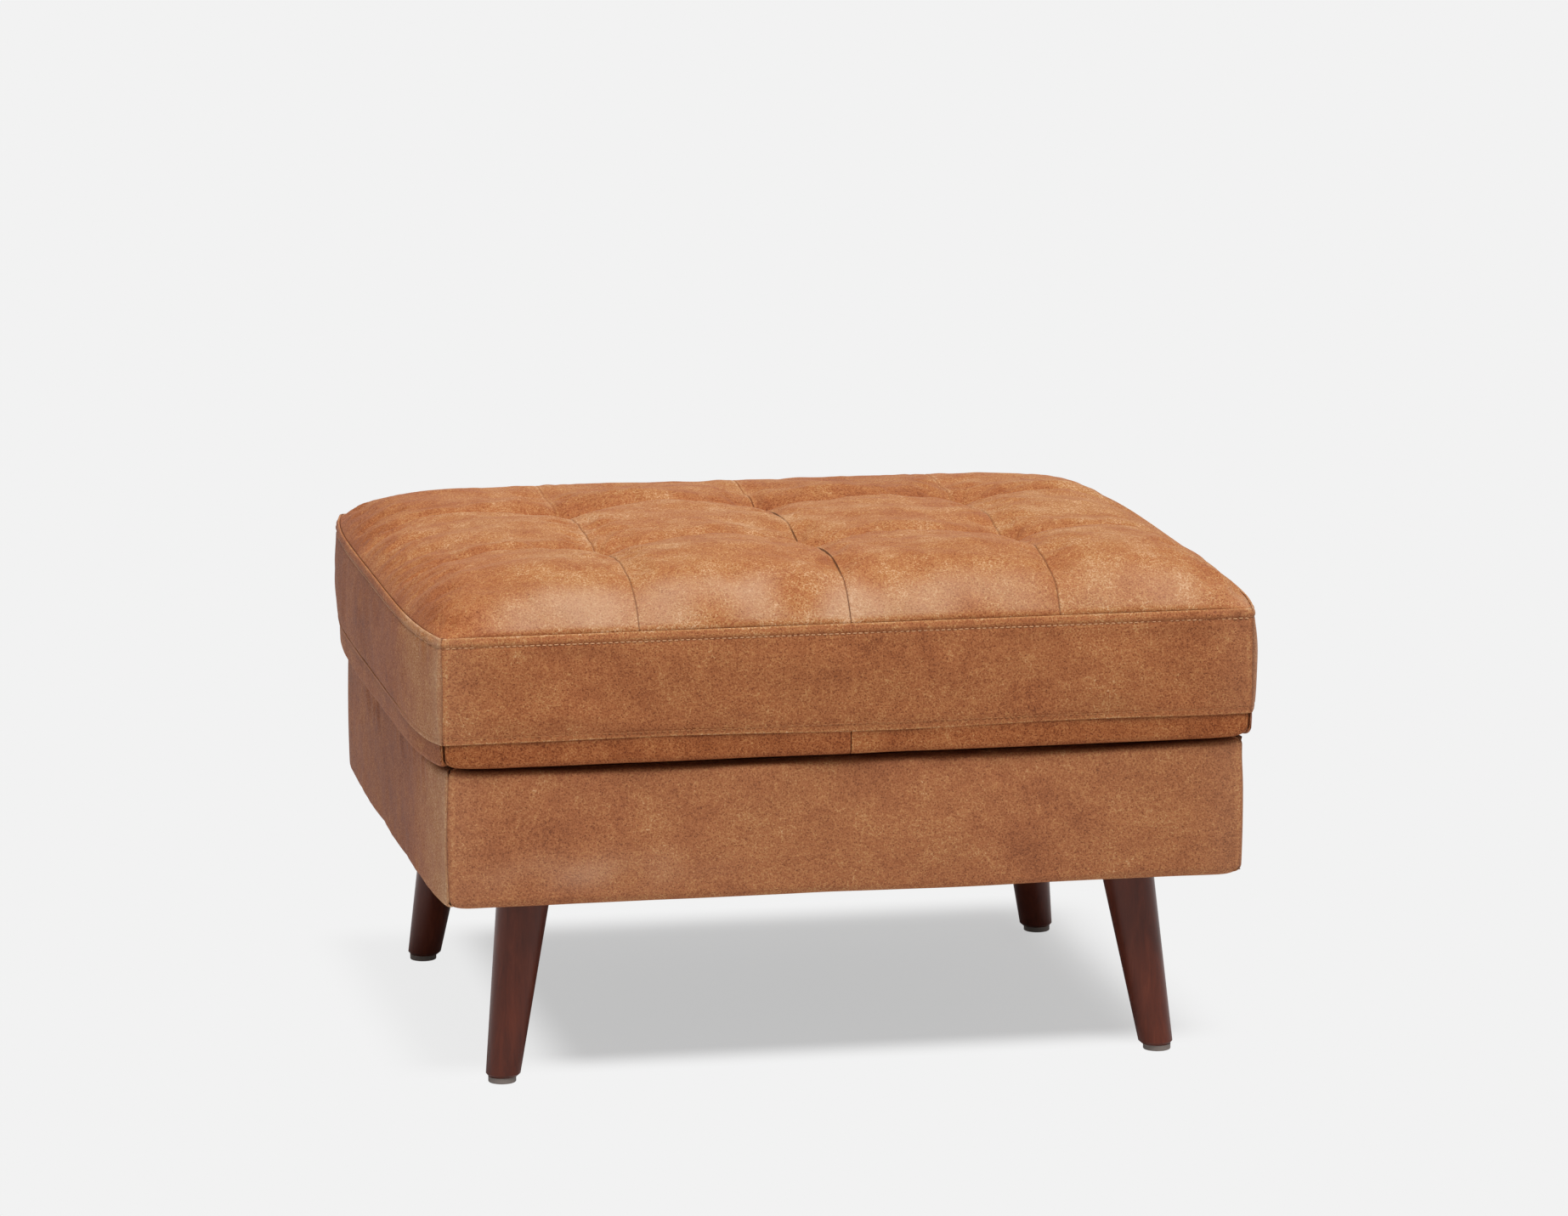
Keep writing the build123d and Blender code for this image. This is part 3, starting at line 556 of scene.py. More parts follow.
def boxing_profile(bulge):
    """(outward, height) down the outer face, and back up inside."""
    levels = np.concatenate([
        np.linspace(TOP_SEAM - 1.5, TOP_STITCH + 1.2, 6),
        np.linspace(TOP_STITCH + 0.8, TOP_STITCH - 0.8, 5),
        np.linspace(TOP_STITCH - 1.6, HEM_STITCH + 1.6, 34),
        np.linspace(HEM_STITCH + 0.8, HEM_STITCH - 0.8, 5),
        np.linspace(HEM_STITCH - 1.6, LAP_EDGE + 1.4, 3)])
    face = []
    for z in levels:
        share = (z - LAP_EDGE) / (TOP_SEAM - LAP_EDGE)
        out = bulge * (1 - (2 * share - 1) ** 2) ** 0.8 - 0.2
        out += 0.9 * bell(z - (TOP_SEAM - 4.0), 2.6) - 0.7 * bell(z - TOP_STITCH, 1.2)
        out -= 0.3 * bell(z - HEM_STITCH, 1.0)
        face.append((out, z))
    upper = [(-1.9, TOP_SEAM - 3.0), (-1.9, TOP_SEAM - 0.7)]
    upper += arc((-1.0, TOP_SEAM - 0.4), 1.0, 160, 20, 6)
    lower = arc((-0.8, LAP_EDGE + 0.9), 0.9, -10, -150, 6)
    inside = [(-1.7, LAP_EDGE + 3), (-1.7, LAP_EDGE + 20), (-1.9, TOP_SEAM - 20)]
    return np.array(upper + face + lower + inside)


def build_boxing():
    for number, side in enumerate(SIDES):
        end = side in ENDS
        run = side_path(side, CUSHION_X, CUSHION_Y, CUSHION_BOW, CUSHION_POWER, BOXING_CORNER)
        profile = boxing_profile(3.0 if end else 2.0)
        points = sweep_side(run, profile)
        z = points[..., 2]
        middle = smoothstep(z, LAP_EDGE + 6, LAP_EDGE + 25) * fade(z, TOP_SEAM - 22, TOP_SEAM - 7)
        ripple = ripples(points, (95, 0.5 if end else 0.8, 20 + number), (34, 0.22, 30 + number))
        pucker = run_waves(run, 11, 40 + number) * 0.12 * (
            bell(z - TOP_STITCH, 7) + bell(z - HEM_STITCH, 6))
        gathers = run_waves(run, 17, 140 + number) * 0.38 * bell(run.seam - 38, 34)
        pucker = pucker + gathers * smoothstep(z, TOP_SEAM - 34, TOP_SEAM - 9) * \
            fade(z, TOP_SEAM - 4, TOP_SEAM - 1)
        face = smoothstep(profile[:, 0], -1.6, -0.6)[None, :]
        bulge = (ripple * middle * smoothstep(run.seam, 3, 40) + pucker) * face
        # away from the corners the hem is pressed against the band
        bulge = bulge - 0.8 * smoothstep(run.seam, 70, 190) * bell(z - LAP_EDGE, 7)
        if side == "right":
            bulge = bulge + LEAN * smoothstep(run.seam, 0.5, 30) * face * \
                fade(z, TOP_SEAM - 45, TOP_SEAM - 4)
        points = sweep_side(run, profile, bulge)
        points[..., 2] += settling(run, number) * fade(z, LAP_EDGE + 2, LAP_EDGE + 60)
        # paler folded edges and lip, partly a painted highlight on the rolled edges
        fold = bell(z - (TOP_SEAM + 0.4), 1.1) + 0.9 * bell(z - LAP_EDGE, 1.3)
        fold = fold + 0.35 * bell(z - (TOP_STITCH + 3.4), 2.2) + 0.5 * bell(run.seam - 6.2, 1.2)
        seam = 0.3 * bell(z - TOP_STITCH, 0.8) + 0.1 * bell(z - HEM_STITCH, 0.6)
        seam = np.maximum(seam, fade(run.seam, 2.2, 4.2) * 0.85)
        node = f"boxing_{side}"
        obj = leather_strip(node, points, "cushion", (0.7 * number, 0.31 * number, 0.2),
                            tone=side_tone(side, points), worn=corner_wear_and_highlight(run, BOXING_WEAR),
                            fold=fold, seam=seam)
        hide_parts(node)


# Lower band, behind the boxing's hem

BAND_CORNER, BAND_RADIUS = 7.0, 5.5
# the bands are darker: their tone and painted shade under the hem
BAND_TONE_AND_SHADE, FRONT_BAND_TONE_AND_SHADE = -0.22, -0.23
LAP = 7.0
BACK_BAND_TOP = 299.0
ZIP_END = (268.6, 273.0)
# distance from the middle and depth of each ring where a front band rolls into the middle seam
MIDDLE_ROLL = ((1.2, 0.03), (0.7, 0.15), (0.32, 0.5), (0.15, 1.1))


def band_profile(top):
    """(outward, height) down the outer face and under, and back up inside."""
    low, face, radius = CUSHION_LOW, -BAND_INSET, BAND_RADIUS
    outer = [(face - 0.25, top - 0.6)]
    outer += [(face + 0.35 * math.sin(math.pi * s), top - 1.6 - s * (top - 1.6 - low - radius))
              for s in np.linspace(0, 1, 8)]
    outer += arc((face - radius, low + radius), radius, 0, -90, 9)[1:]
    outer += [(face - radius - 4, low), (face - 20, low), (face - 28, low + 0.1)]
    inner = [(face - 28, low + 1.7), (face - 14, low + 1.7), (face - 2.6, low + 12),
             (face - 2, top - 1.2)]
    return np.array(outer + inner), len(outer)


def build_bands():
    low = CUSHION_LOW
    for number, side in enumerate(SIDES):
        run = side_path(side, CUSHION_X, CUSHION_Y, CUSHION_BOW, CUSHION_POWER, BAND_CORNER)
        top = BACK_BAND_TOP if side == "back" else LAP_EDGE + LAP
        profile, outer_count = band_profile(top)
        points = sweep_side(run, profile)
        z = points[..., 2]
        visible = (np.arange(len(profile)) < outer_count - 3)[None, :]
        ripple = waves(points, 70, 60 + number) * 0.35 * smoothstep(run.seam, 3, 40) * visible
        if side == "right":
            ripple = ripple + LEAN * smoothstep(run.seam, 2, 30) * visible
        points = sweep_side(run, profile, ripple)
        points[..., 2] += settling(run, number) * (z > low + 6)
        if side == "back":
            # beyond the ends of the zip the boxing laps over the band
            beyond = smoothstep(np.abs(run.path[:, :1]), *ZIP_END)
            points[..., 2] += (LAP_EDGE + LAP - top) * beyond * smoothstep(z, top - 8, top - 1.5)
        corner = 5.5 * bell(run.seam, 8) + 1.5 * bell(run.seam, 24)
        points[..., 2] += corner * fade(z, low + 5, LAP_EDGE)
        # painted shade under the boxing's hem and in the gap below the band
        hidden = smoothstep(z, LAP_EDGE - 7.0, LAP_EDGE - 0.5) * 0.22
        under = 0.6 * fade(z, low + 0.1, low + 1.6)
        seam = np.maximum(np.maximum(fade(run.seam, 2.2, 4.0) * 0.5, hidden), under)
        # a painted highlight beside the corner seam, partly paler folded leather
        fold = 0.35 * bell(run.seam - 6.5, 1.5)
        if side == "front":
            build_front_bands(run, points, outer_count, fold, seam)
            continue
        node = f"lower_band_{side}"
        obj = leather_strip(node, points, "cushion", (0.33 * number, 1.7, 0.5),
                            tone=BAND_TONE_AND_SHADE, fold=fold, seam=seam)
        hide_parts(node)


def build_front_bands(run, points, outer_count, fold, seam):
    """The front band is two pieces that roll into a seam at the middle."""
    for part, sign in (("left", -1), ("right", 1)):
        keep = np.nonzero(run.path[:, 0] * sign > 1.4)[0]
        first = 0 if sign > 0 else -1
        edge = points[keep][first]
        tangent = np.roll(edge, -1, 0) - np.roll(edge, 1, 0)
        tangent[:, 0] = 0
        size = np.maximum(np.linalg.norm(tangent, axis=1), 1e-6)[:, None]
        inward = np.stack([np.zeros(len(edge)), -tangent[:, 2], tangent[:, 1]], 1) / size
        if inward[3, 1] < 0:
            inward = -inward
        added = []
        for gap, depth in MIDDLE_ROLL:
            ring = edge.copy()
            ring[:, 0] -= sign * max(abs(edge[0, 0]) - gap, 0.0)
            ring[:outer_count] += inward[:outer_count] * depth
            added.append(ring)

        def joined(values, extra=None):
            values = values[keep]
            if extra is None:
                extra = np.repeat(values[first][None], len(added), 0)
            return np.concatenate([extra[::-1], values] if sign > 0 else [values, extra])

        rings = joined(points, np.stack(added))
        distance = np.abs(rings[:, :, 0])
        node = f"lower_band_front_{part}"
        # a painted highlight on the roll beside the middle seam
        obj = leather_strip(node, rings, "cushion", (0.9 * sign, 2.3, 0.1), tone=FRONT_BAND_TONE_AND_SHADE,
                            fold=joined(fold) + 0.4 * bell(distance - 1.5, 0.6),
                            seam=np.maximum(joined(seam), fade(distance, 0.2, 0.7) * 0.54))
        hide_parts(node)


# Base covers

BASE_CORNER, BASE_RADIUS, BASE_WEAR = 6.0, 8.0, 0.17
FLAP, SKIN = -27.3, 1.6  # how far in the leather's flaps reach, and how thick they are


def base_profile(bulge):
    """(outward, height) over the top edge, down the outer face and under, and back inside."""
    low, high, radius = LEG_HEIGHT, BASE_TOP, BASE_RADIUS
    outer = [(FLAP, high), (-20, high), (-radius - 4, high)]
    outer += arc((-radius, high - radius), radius, 90, 0, 9)
    outer += [(bulge * (1 - (2 * s - 1) ** 2), high - radius - s * (high - low - 2 * radius))
              for s in np.linspace(0, 1, 32)[1:-1]]
    outer += arc((-radius, low + radius), radius, 0, -90, 9)
    outer += [(-radius - 4, low), (-20, low), (FLAP, low)]
    inner = [(FLAP, low + SKIN), (-10, low + SKIN), (-2.6, low + 9), (-1.7, low + 30),
             (-1.7, high - 30), (-2.6, high - 9), (-10, high - SKIN), (FLAP, high - SKIN)]
    return np.array(outer + inner), len(outer)


def build_base():
    low, high = LEG_HEIGHT, BASE_TOP
    for number, side in enumerate(SIDES):
        end = side in ENDS
        run = side_path(side, BASE_X, BASE_Y, BASE_BOW, BASE_POWER, BASE_CORNER)
        profile, outer_count = base_profile(0.8 if end else 2.0)
        points = sweep_side(run, profile)
        z = points[..., 2]
        inner_part = smoothstep(run.seam, 4, 60)
        place = np.arange(len(profile))[None, :]
        visible = (place > 3) & (place < outer_count - 3)
        line = np.stack([run.along + (z - low) * 0.5, z * 0.25], -1)
        tucks = waves(line, 26, 80 + number) * 0.5 * smoothstep(z, high - 46, high - 12) * \
            smoothstep(waves(line, 190, 84 + number), -0.4, 0.8)
        ripple = ripples(points, (120, 0.45 if end else 0.8, 70 + number), (45, 0.2, 75 + number))
        # the flaps' inner edges run straight, though the ends bow
        bow = np.clip(run.path[:, 1:] - run.half_b, 0, None)
        straight = bow * smoothstep(-profile[:, 0], 10, 26)[None, :]
        points = sweep_side(run, profile, (ripple * inner_part + tucks) * visible - straight)
        sag = run_waves(run, 330, 90 + number) * 0.9 * inner_part
        points[..., 2] += sag * fade(z, low, low + 60) * visible * smoothstep(z, low - 1, low + 3)
        drawn = 2.0 * smoothstep(run.seam, 25, 130) - 3.5 * bell(run.seam, 15)
        points[..., 2] -= drawn * smoothstep(z, high - 45, high) * (place < outer_count)
        points[..., 2] += 3.5 * bell(run.seam, 9) * fade(z, low, low + 22)
        seam_line_and_gap_shade = fade(run.seam, 2.2, 4.0) * (
            0.45 + 0.55 * smoothstep(z, low + 2, low + 18) * fade(z, high - 18, high - 2))
        # painted shadow along the top edge, in the gap under the cushion
        seam_line_and_gap_shade = np.maximum(seam_line_and_gap_shade, 0.75 * smoothstep(z, high - 3.0, high - 0.2))
        worn = corner_wear_and_highlight(run, BASE_WEAR)
        if side == "front":
            # a paler patch low on the front left
            worn = worn + 0.26 * bell(points[..., 0] + 225, 80) * bell(z - 192, 17) * \
                (1 + 0.5 * waves(points, 42, 97))
        # paler lines beside the corner seams and along the bottom edge, partly a painted highlight
        fold = 0.45 * bell(run.seam - 6.3, 1.3) + 0.3 * bell(z - low, 3.5)
        obj = leather_strip(f"base_{side}", points, "base", (0.61 * number, 3.1, 0.9),
                            tone=side_tone(side, points), worn=worn, fold=fold, seam=seam_line_and_gap_shade * 0.7)
        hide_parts(f"base_cover_{side}", f"base_padding_{side}")


# Cushion top

TOP_STEP = 2.5
BESIDE_SEAM, SEAM_REACH = np.array([0.0, 0.35, 0.75, 1.2, 1.7, 2.4, 3.3, 4.6]), 6.2
SEAM_GATHER = 4.8  # one gather for each stitch of a seam
# x, and how much higher than the CAD the filling stands there along the back
BACK_LIFT = (
    (-350, 1.5), (-335, 1.4), (-327, 4.2), (-316, 5.3), (-278, 5.0), (-240, 3.3), (-210, 1.1),
    (-185, 1.8), (-155, 0.4), (-119, -2.3), (-98, -2.9), (-78, -1.6), (-50, -0.4), (-20, -0.6),
    (0, 1.0), (30, 0.1), (52, -0.2), (75, -1.8), (109, -1.5), (125, 0.5), (150, 0.7), (182, 1.1),
    (200, -0.6), (240, -0.7), (280, -0.3), (311, -1.5), (330, -3.8), (350, -2.8))
# each pair of places is where something starts and where it is full or over
LIFT_BACK, LEVEL_BACK = (110, 205), (150, 205)
RIGHT_DROP, DROP_STARTS, DROP_STOPS = 5.4, (292, 336), (349, 360)
DROP_FRONT, DROP_BACK = (-252, -212), (205, 250)
RIGHT_HOLLOWS = ((-225, 32, 3.9), (70, 85, 3.0))  # y, width and depth
HOLLOW_STARTS, HOLLOW_STOPS = (308, 328), (349, 359)
TUFT_PITS = ((3.2, 7.0), (1.6, 18.0))  # depth and width
TUFT_FOLDS, CORNER_FOLDS = (17, 7.0, 62.0), (9, 6.0, 80.0)  # how many, and from where to where
EDGE_GATHERS = (26, 0.35, 5)
TOP_RIPPLES = ((75, 0.9, 6), (30, 0.28, 7), (13, 0.08, 8))
# how far in and how far down the rings of the rim are, inside the boxing
RIM_RINGS = ((0.3, 1.5), (1.2, 5.0), (2.5, 20.0))
CALM_BACK, CALM_ENDS = (85, 125), (205, 285)  # over these the seams are drawn in less and less
PANEL_TONES = (0.10, 0.06, 0.04, 0.08, 0.12, 0.09, 0.07, 0.10, 0.02, 0.0, -0.04, 0.03)
TOP_NODES = [f"top_panels_{row}_row" for row in ("front", "middle", "back")]


def spaced(a, b):
    """Places from seam a to seam b, close together beside both."""
    length = b - a
    count = max(2, int(round((length - 2 * SEAM_REACH) / TOP_STEP)))
    middle = np.linspace(SEAM_REACH, length - SEAM_REACH, count + 1)
    return a + np.concatenate([BESIDE_SEAM, middle, (length - BESIDE_SEAM)[::-1]])


def between(marks, places):
    """Places over the stretches between marks, each mark once. places(a, b) ends with b."""
    return np.concatenate([places(a, b)[:-1] for a, b in zip(marks, marks[1:])] + [[marks[-1]]])


def end_edge(y):
    share = np.clip(np.abs(y) / CUSHION_Y, 0, 1)
    return CUSHION_X - BAND_INSET - 0.3 + CUSHION_BOW * (1 - share**CUSHION_POWER)


END = end_edge(0.0)
COLUMN_MARKS, ROW_MARKS = (-END, *COLUMN_SEAMS, END), (-PANEL_Y, *ROW_SEAMS, PANEL_Y)


def top_plan(across, along):
    """World x and y of the parameter grid, whose end columns stretch to the bowed ends."""
    x, y = np.meshgrid(across, along, indexing="ij")
    beyond = (np.abs(x) - COLUMN) / (END - COLUMN)
    stretched = np.sign(x) * (COLUMN + beyond * (end_edge(y) - COLUMN))
    return np.where(np.abs(x) > COLUMN, stretched, x), y


def top_distances(x, y):
    """How far each place is from the column seams, the row seams, the long edges, any edge and
    the tufts."""
    to_column = np.abs(x[..., None] - np.array(COLUMN_SEAMS)).min(-1)
    to_row = np.abs(y[..., None] - np.array(ROW_SEAMS)).min(-1)
    edge_y = PANEL_Y - np.abs(y)
    edge = np.minimum(np.abs(x - np.sign(x) * end_edge(y)), edge_y)
    tuft = np.min([np.hypot(x - a, y - b) for a, b in TUFTS], axis=0)
    return to_column, to_row, edge_y, edge, tuft


def smoothing(line, seams, wide):
    """A matrix that smooths along a line of places, less beside the seams and not at its ends."""
    gap = np.min([np.abs(line - seam) for seam in (*seams, -1e4)], axis=0)
    edge = np.minimum(line - line[0], line[-1] - line)
    sigma = np.minimum(wide, 0.6 + np.minimum(gap * 0.5, edge * 0.35))
    sigma[edge < 1e-6] = 1e-3
    weights = np.exp(-0.5 * ((line[None, :] - line[:, None]) / sigma[:, None]) ** 2)
    weights = weights * np.gradient(line)[None, :]
    return weights / weights.sum(1)[:, None]


def off_seams(places, seams):
    """Places moved just clear of the seams, where the CAD panels have a gap."""
    for seam in seams:
        clear = np.where(places >= seam, seam + 0.4, seam - 0.4)
        places = np.where(np.abs(places - seam) < 0.4, clear, places)
    return places


def cad_heights(x, y):
    """Heights of the CAD panels over the grid, seen straight down."""
    verts, faces = [], []
    for name in TOP_NODES:
        mesh = NODES[name].data
        start = len(verts)
        verts += [v.co.copy() for v in mesh.vertices]
        faces += [[start + i for i in p.vertices] for p in mesh.polygons]
    tree = BVHTree.FromPolygons(verts, faces)
    x, y = off_seams(x, COLUMN_SEAMS), off_seams(y, ROW_SEAMS)
    limit = end_edge(y) - 0.25
    x, y = np.clip(x, -limit, limit), np.clip(y, -PANEL_Y + 0.2, PANEL_Y - 0.2)
    heights = np.zeros(x.shape)
    for i, j in np.ndindex(*x.shape):
        hit = tree.ray_cast(Vector((x[i, j] * MM, y[i, j] * MM, 1.0)), Vector((0, 0, -1)))[0]
        if hit is not None:
            heights[i, j] = hit.z / MM
        else:
            heights[i, j] = heights[i, j - 1] if j else TOP_SEAM
    return heights


def creases(x, y, centre, rng, count, first, last, aim=None, fan=math.pi, deep=(0.25, 0.8)):
    """Fine folds that run out from a point, all round it or in a fan round the angle aim."""
    total = np.zeros(x.shape)
    dx, dy = x - centre[0], y - centre[1]
    near = np.hypot(dx, dy) < last * 1.3
    dx, dy = dx[near], dy[near]
    value = np.zeros(dx.shape)
    for number in range(count):
        if aim is None:
            angle = 2 * math.pi * (number + rng.uniform(-0.45, 0.45)) / count
        else:
            angle = aim + rng.uniform(-fan, fan)
        start = rng.uniform(first * 0.6, first * 1.6)
        length = rng.uniform(0.35, 1.0) * (last - first)
        width = rng.uniform(1.5, 3.4)
        depth = rng.uniform(*deep)
        bend = rng.uniform(-0.35, 0.35)
        c, s = math.cos(angle), math.sin(angle)
        run = dx * c + dy * s
        off = -dx * s + dy * c - bend * np.maximum(run, 0) ** 2 / (2.2 * length)
        t = (run - start) / length
        rise = np.where((t > 0) & (t < 1), smoothstep(t, 0, 0.18) * fade(t, 0.25, 1.0), 0)
        grow = width * (1 + 0.8 * np.clip(t, 0, 1))
        value -= depth * rise * bell(off, grow)
        value += 0.5 * depth * rise * (bell(off - 1.9 * grow, grow) + bell(off + 1.9 * grow, grow))
    total[near] = value
    return total


def regrid(values, rows, columns, new_rows, new_columns):
    """A grid of values read at other rows and columns."""
    half = np.stack([np.interp(new_rows, rows, line) for line in values.T], 1)
    return np.stack([np.interp(new_columns, columns, line) for line in half])


SETTLE_STEP, SETTLE_FRAMES = 5.0, 20
SETTLE_CAP, WRINKLE_CAP = 6.0, 2.0
OVERSIZE = -0.035  # shrink_min of leather cut 3.5% too large
CLOTH_SETTINGS = dict(
    quality=6, mass=0.3, tension_stiffness=18, compression_stiffness=18, shear_stiffness=6,
    bending_stiffness=0.25, shrink_min=OVERSIZE, use_pressure=True, uniform_pressure_force=4,
    vertex_group_mass="held")


def settle(across, along, z):
    """Wrinkles of the top, from a cloth simulation of slightly oversized leather over the filling,
    pinned at the rim, the seams and the tufts."""
    def steps(a, b):
        return np.linspace(a, b, int(round((b - a) / SETTLE_STEP)) + 1)

    rows, columns = between(COLUMN_MARKS, steps), between(ROW_MARKS, steps)
    x, y = top_plan(rows, columns)
    verts = np.stack([x, y, regrid(z, across, along, rows, columns)], -1).reshape(-1, 3) * MM
    mesh = bpy.data.meshes.new("settling")
    mesh.from_pydata(verts.tolist(), [], grid_faces(*x.shape))
    obj = new_object("settling", mesh)

    to_column, to_row, _, edge, tuft = top_distances(x, y)
    sewn_row = np.abs(x) < 250
    held = (edge < 1) | (to_column < 1) | (tuft < 9) | ((to_row < 1) & sewn_row)
    group = obj.vertex_groups.new(name="held")
    group.add([int(i) for i in np.nonzero(held.ravel())[0]], 1.0, "REPLACE")

    made = obj.modifiers.new("settle", "CLOTH")
    for key, value in CLOTH_SETTINGS.items():
        setattr(made.settings, key, value)
    made.settings.effector_weights.gravity = 0
    made.collision_settings.use_collision = False
    made.collision_settings.use_self_collision = False
    made.point_cache.frame_start, made.point_cache.frame_end = 1, SETTLE_FRAMES
    for frame_number in range(1, SETTLE_FRAMES + 1):
        bpy.context.scene.frame_set(frame_number)
    shown = obj.evaluated_get(bpy.context.evaluated_depsgraph_get())
    co = np.zeros(len(verts) * 3)
    shown.to_mesh().vertices.foreach_get("co", co)
    shown.to_mesh_clear()
    bpy.context.scene.frame_set(1)
    bpy.data.objects.remove(obj)
    bpy.data.meshes.remove(mesh)

    moved = (co.reshape(-1, 3) - verts)[:, 2].reshape(x.shape) / MM
    moved = np.clip(moved, -SETTLE_CAP, SETTLE_CAP)
    # the pillows keep their fitted height, so only the wrinkles are taken over
    broad = smoothing(rows, (), 13) @ moved @ smoothing(columns, (), 13).T
    clear = np.minimum(np.minimum(to_column, edge), np.where(sewn_row, to_row, 1e3))
    wrinkles = np.clip(1.3 * (moved - broad), -WRINKLE_CAP, WRINKLE_CAP)
    wrinkles = wrinkles * smoothstep(clear, 0.5, 9) * smoothstep(tuft, 8, 22)
    return regrid(wrinkles, rows, columns, across, along)


def top_shape(across, along, x, y):
    """Heights of the sewn and tufted top."""
    to_column, to_row, edge_y, edge, tuft = top_distances(x, y)
    z = cad_heights(x, y)
    z = smoothing(across, COLUMN_SEAMS, 4.5) @ z @ smoothing(along, ROW_SEAMS, 4.5).T
    inside = smoothstep(edge, 1.0, 14.0)

    # along the back the filling stands almost level across the seams
    level = smoothing(across, (), 30) @ z
    z += (level - z) * 0.9 * smoothstep(y, *LEVEL_BACK) * inside

    rng = np.random.default_rng(11)
    plan = np.stack([x, y], -1)
    # seams: the leather rolls into a narrow groove, gathered a little at each stitch
    gather_x, gather_y = (1 + 0.25 * np.cos(2 * math.pi * place / SEAM_GATHER) for place in (y, x))
    depth_x = 0.65 * bell(to_column, 1.1) * gather_x + 0.9 * bell(to_column, 4.5)
    depth_y = 0.6 * bell(to_row, 1.2) * gather_y + 0.9 * bell(to_row, 5.0)
    depth = depth_x * (1 - 0.5 * smoothstep(y, *CALM_BACK)) + depth_y * fade(np.abs(x), *CALM_ENDS)
    z -= depth * smoothstep(edge, 0.2, 3.0)
    # the filling stands higher at the back left and lower along the right end
    z += np.interp(x, *zip(*BACK_LIFT)) * smoothstep(y, *LIFT_BACK) * smoothstep(edge, 0, 12)
    z -= RIGHT_DROP * smoothstep(x, *DROP_STARTS) * fade(x, *DROP_STOPS) * \
        smoothstep(y, *DROP_FRONT) * fade(y, *DROP_BACK)
    hollows = sum(depth * bell(y - place, width) for place, width, depth in RIGHT_HOLLOWS)
    z -= hollows * smoothstep(x, *HOLLOW_STARTS) * fade(x, *HOLLOW_STOPS)
    # tufts: a pit with folds running out of it
    z -= sum(depth * bell(tuft, width) for depth, width in TUFT_PITS)
    for centre in TUFTS:
        z += creases(x, y, centre, rng, *TUFT_FOLDS) * inside
    # corners and long edges: leather gathered into the top seam
    for cx in (-1, 1):
        for cy in (-1, 1):
            corner = (cx * (CUSHION_X - 6), cy * (PANEL_Y - 4))
            aim = math.atan2(-cy, -cx)
            made = creases(x, y, corner, rng, *CORNER_FOLDS, aim, 0.9, (0.3, 0.8))
            z += made * smoothstep(edge, 0.5, 8)
    z += ripples(plan, EDGE_GATHERS) * smoothstep(edge_y, 2, 9) * fade(edge_y, 16, 55)
    z += ripples(plan, *TOP_RIPPLES) * inside

    z += settle(across, along, z) * (1 - 0.6 * smoothstep(y, *LEVEL_BACK))
    return z


def top_looks(x, y):
    """Tone and painted shade, folds and painted highlights, seams and painted shade, and a painted
    sheen over the top, and where each panel was cut from the hide.
    """
    to_column, to_row, edge_y, edge, tuft = top_distances(x, y)
    plan = np.stack([x, y], -1)
    back, ends = smoothstep(y, *CALM_BACK), fade(np.abs(x), *CALM_ENDS)
    # dark seam lines, with painted shade in the tuft pits and along the top's edge at the top seam
    seam = (0.44 + 0.14 * (y < -ROW)) * bell(to_column, 0.6) * (1 - 0.8 * back)
    seam = seam + 0.25 * bell(to_row, 0.8) * ends + 0.35 * bell(tuft, 3.0) + 0.28 * bell(edge, 0.8)
    # paler crests beside the seams, partly a painted highlight
    fold = 0.3 * bell(to_column - 1.9, 0.7) * (1 + back) + 0.7 * bell(to_row - 1.6, 1.0) * ends
    # a painted sheen makes the top paler along the front edge, less to the right, and painted shade
    # darkens the left end
    worn = smoothstep(edge, 0.5, 3) * fade(edge_y, 14, 46) * (y < 0) * smoothstep(x, -335, -250)
    worn = worn * np.clip(0.72 + 0.3 * waves(plan, 80, 61), 0, 1)
    worn = worn * (1 - 0.5 * smoothstep(x, -60, 180))
    shade = -0.15 * fade(x, -330, -190) - 0.10 * fade(x, -352, -318)
    shade = shade - 0.05 * smoothstep(x, -40, 160)
    # painted shade round the tufts and along the row seams, and some mottling
    shade = shade - np.clip(0.10 + 0.06 * waves(plan, 34, 71), 0, 1) * bell(tuft, 34)
    shade = shade - 0.05 * bell(to_row, 22) * ends + 0.035 * waves(plan, 48, 72)
    panel = np.digitize(x, COLUMN_SEAMS) + 4 * np.digitize(y, ROW_SEAMS)
    shift = np.stack([(panel * 0.37) % 1.7, (panel * 0.53) % 1.3, (panel * 0.71) % 1.1], -1)
    tone = np.array(PANEL_TONES)[panel] + shade
    return {"tone": tone, "fold": fold, "seam": np.clip(seam, 0, 1), "worn": worn}, shift


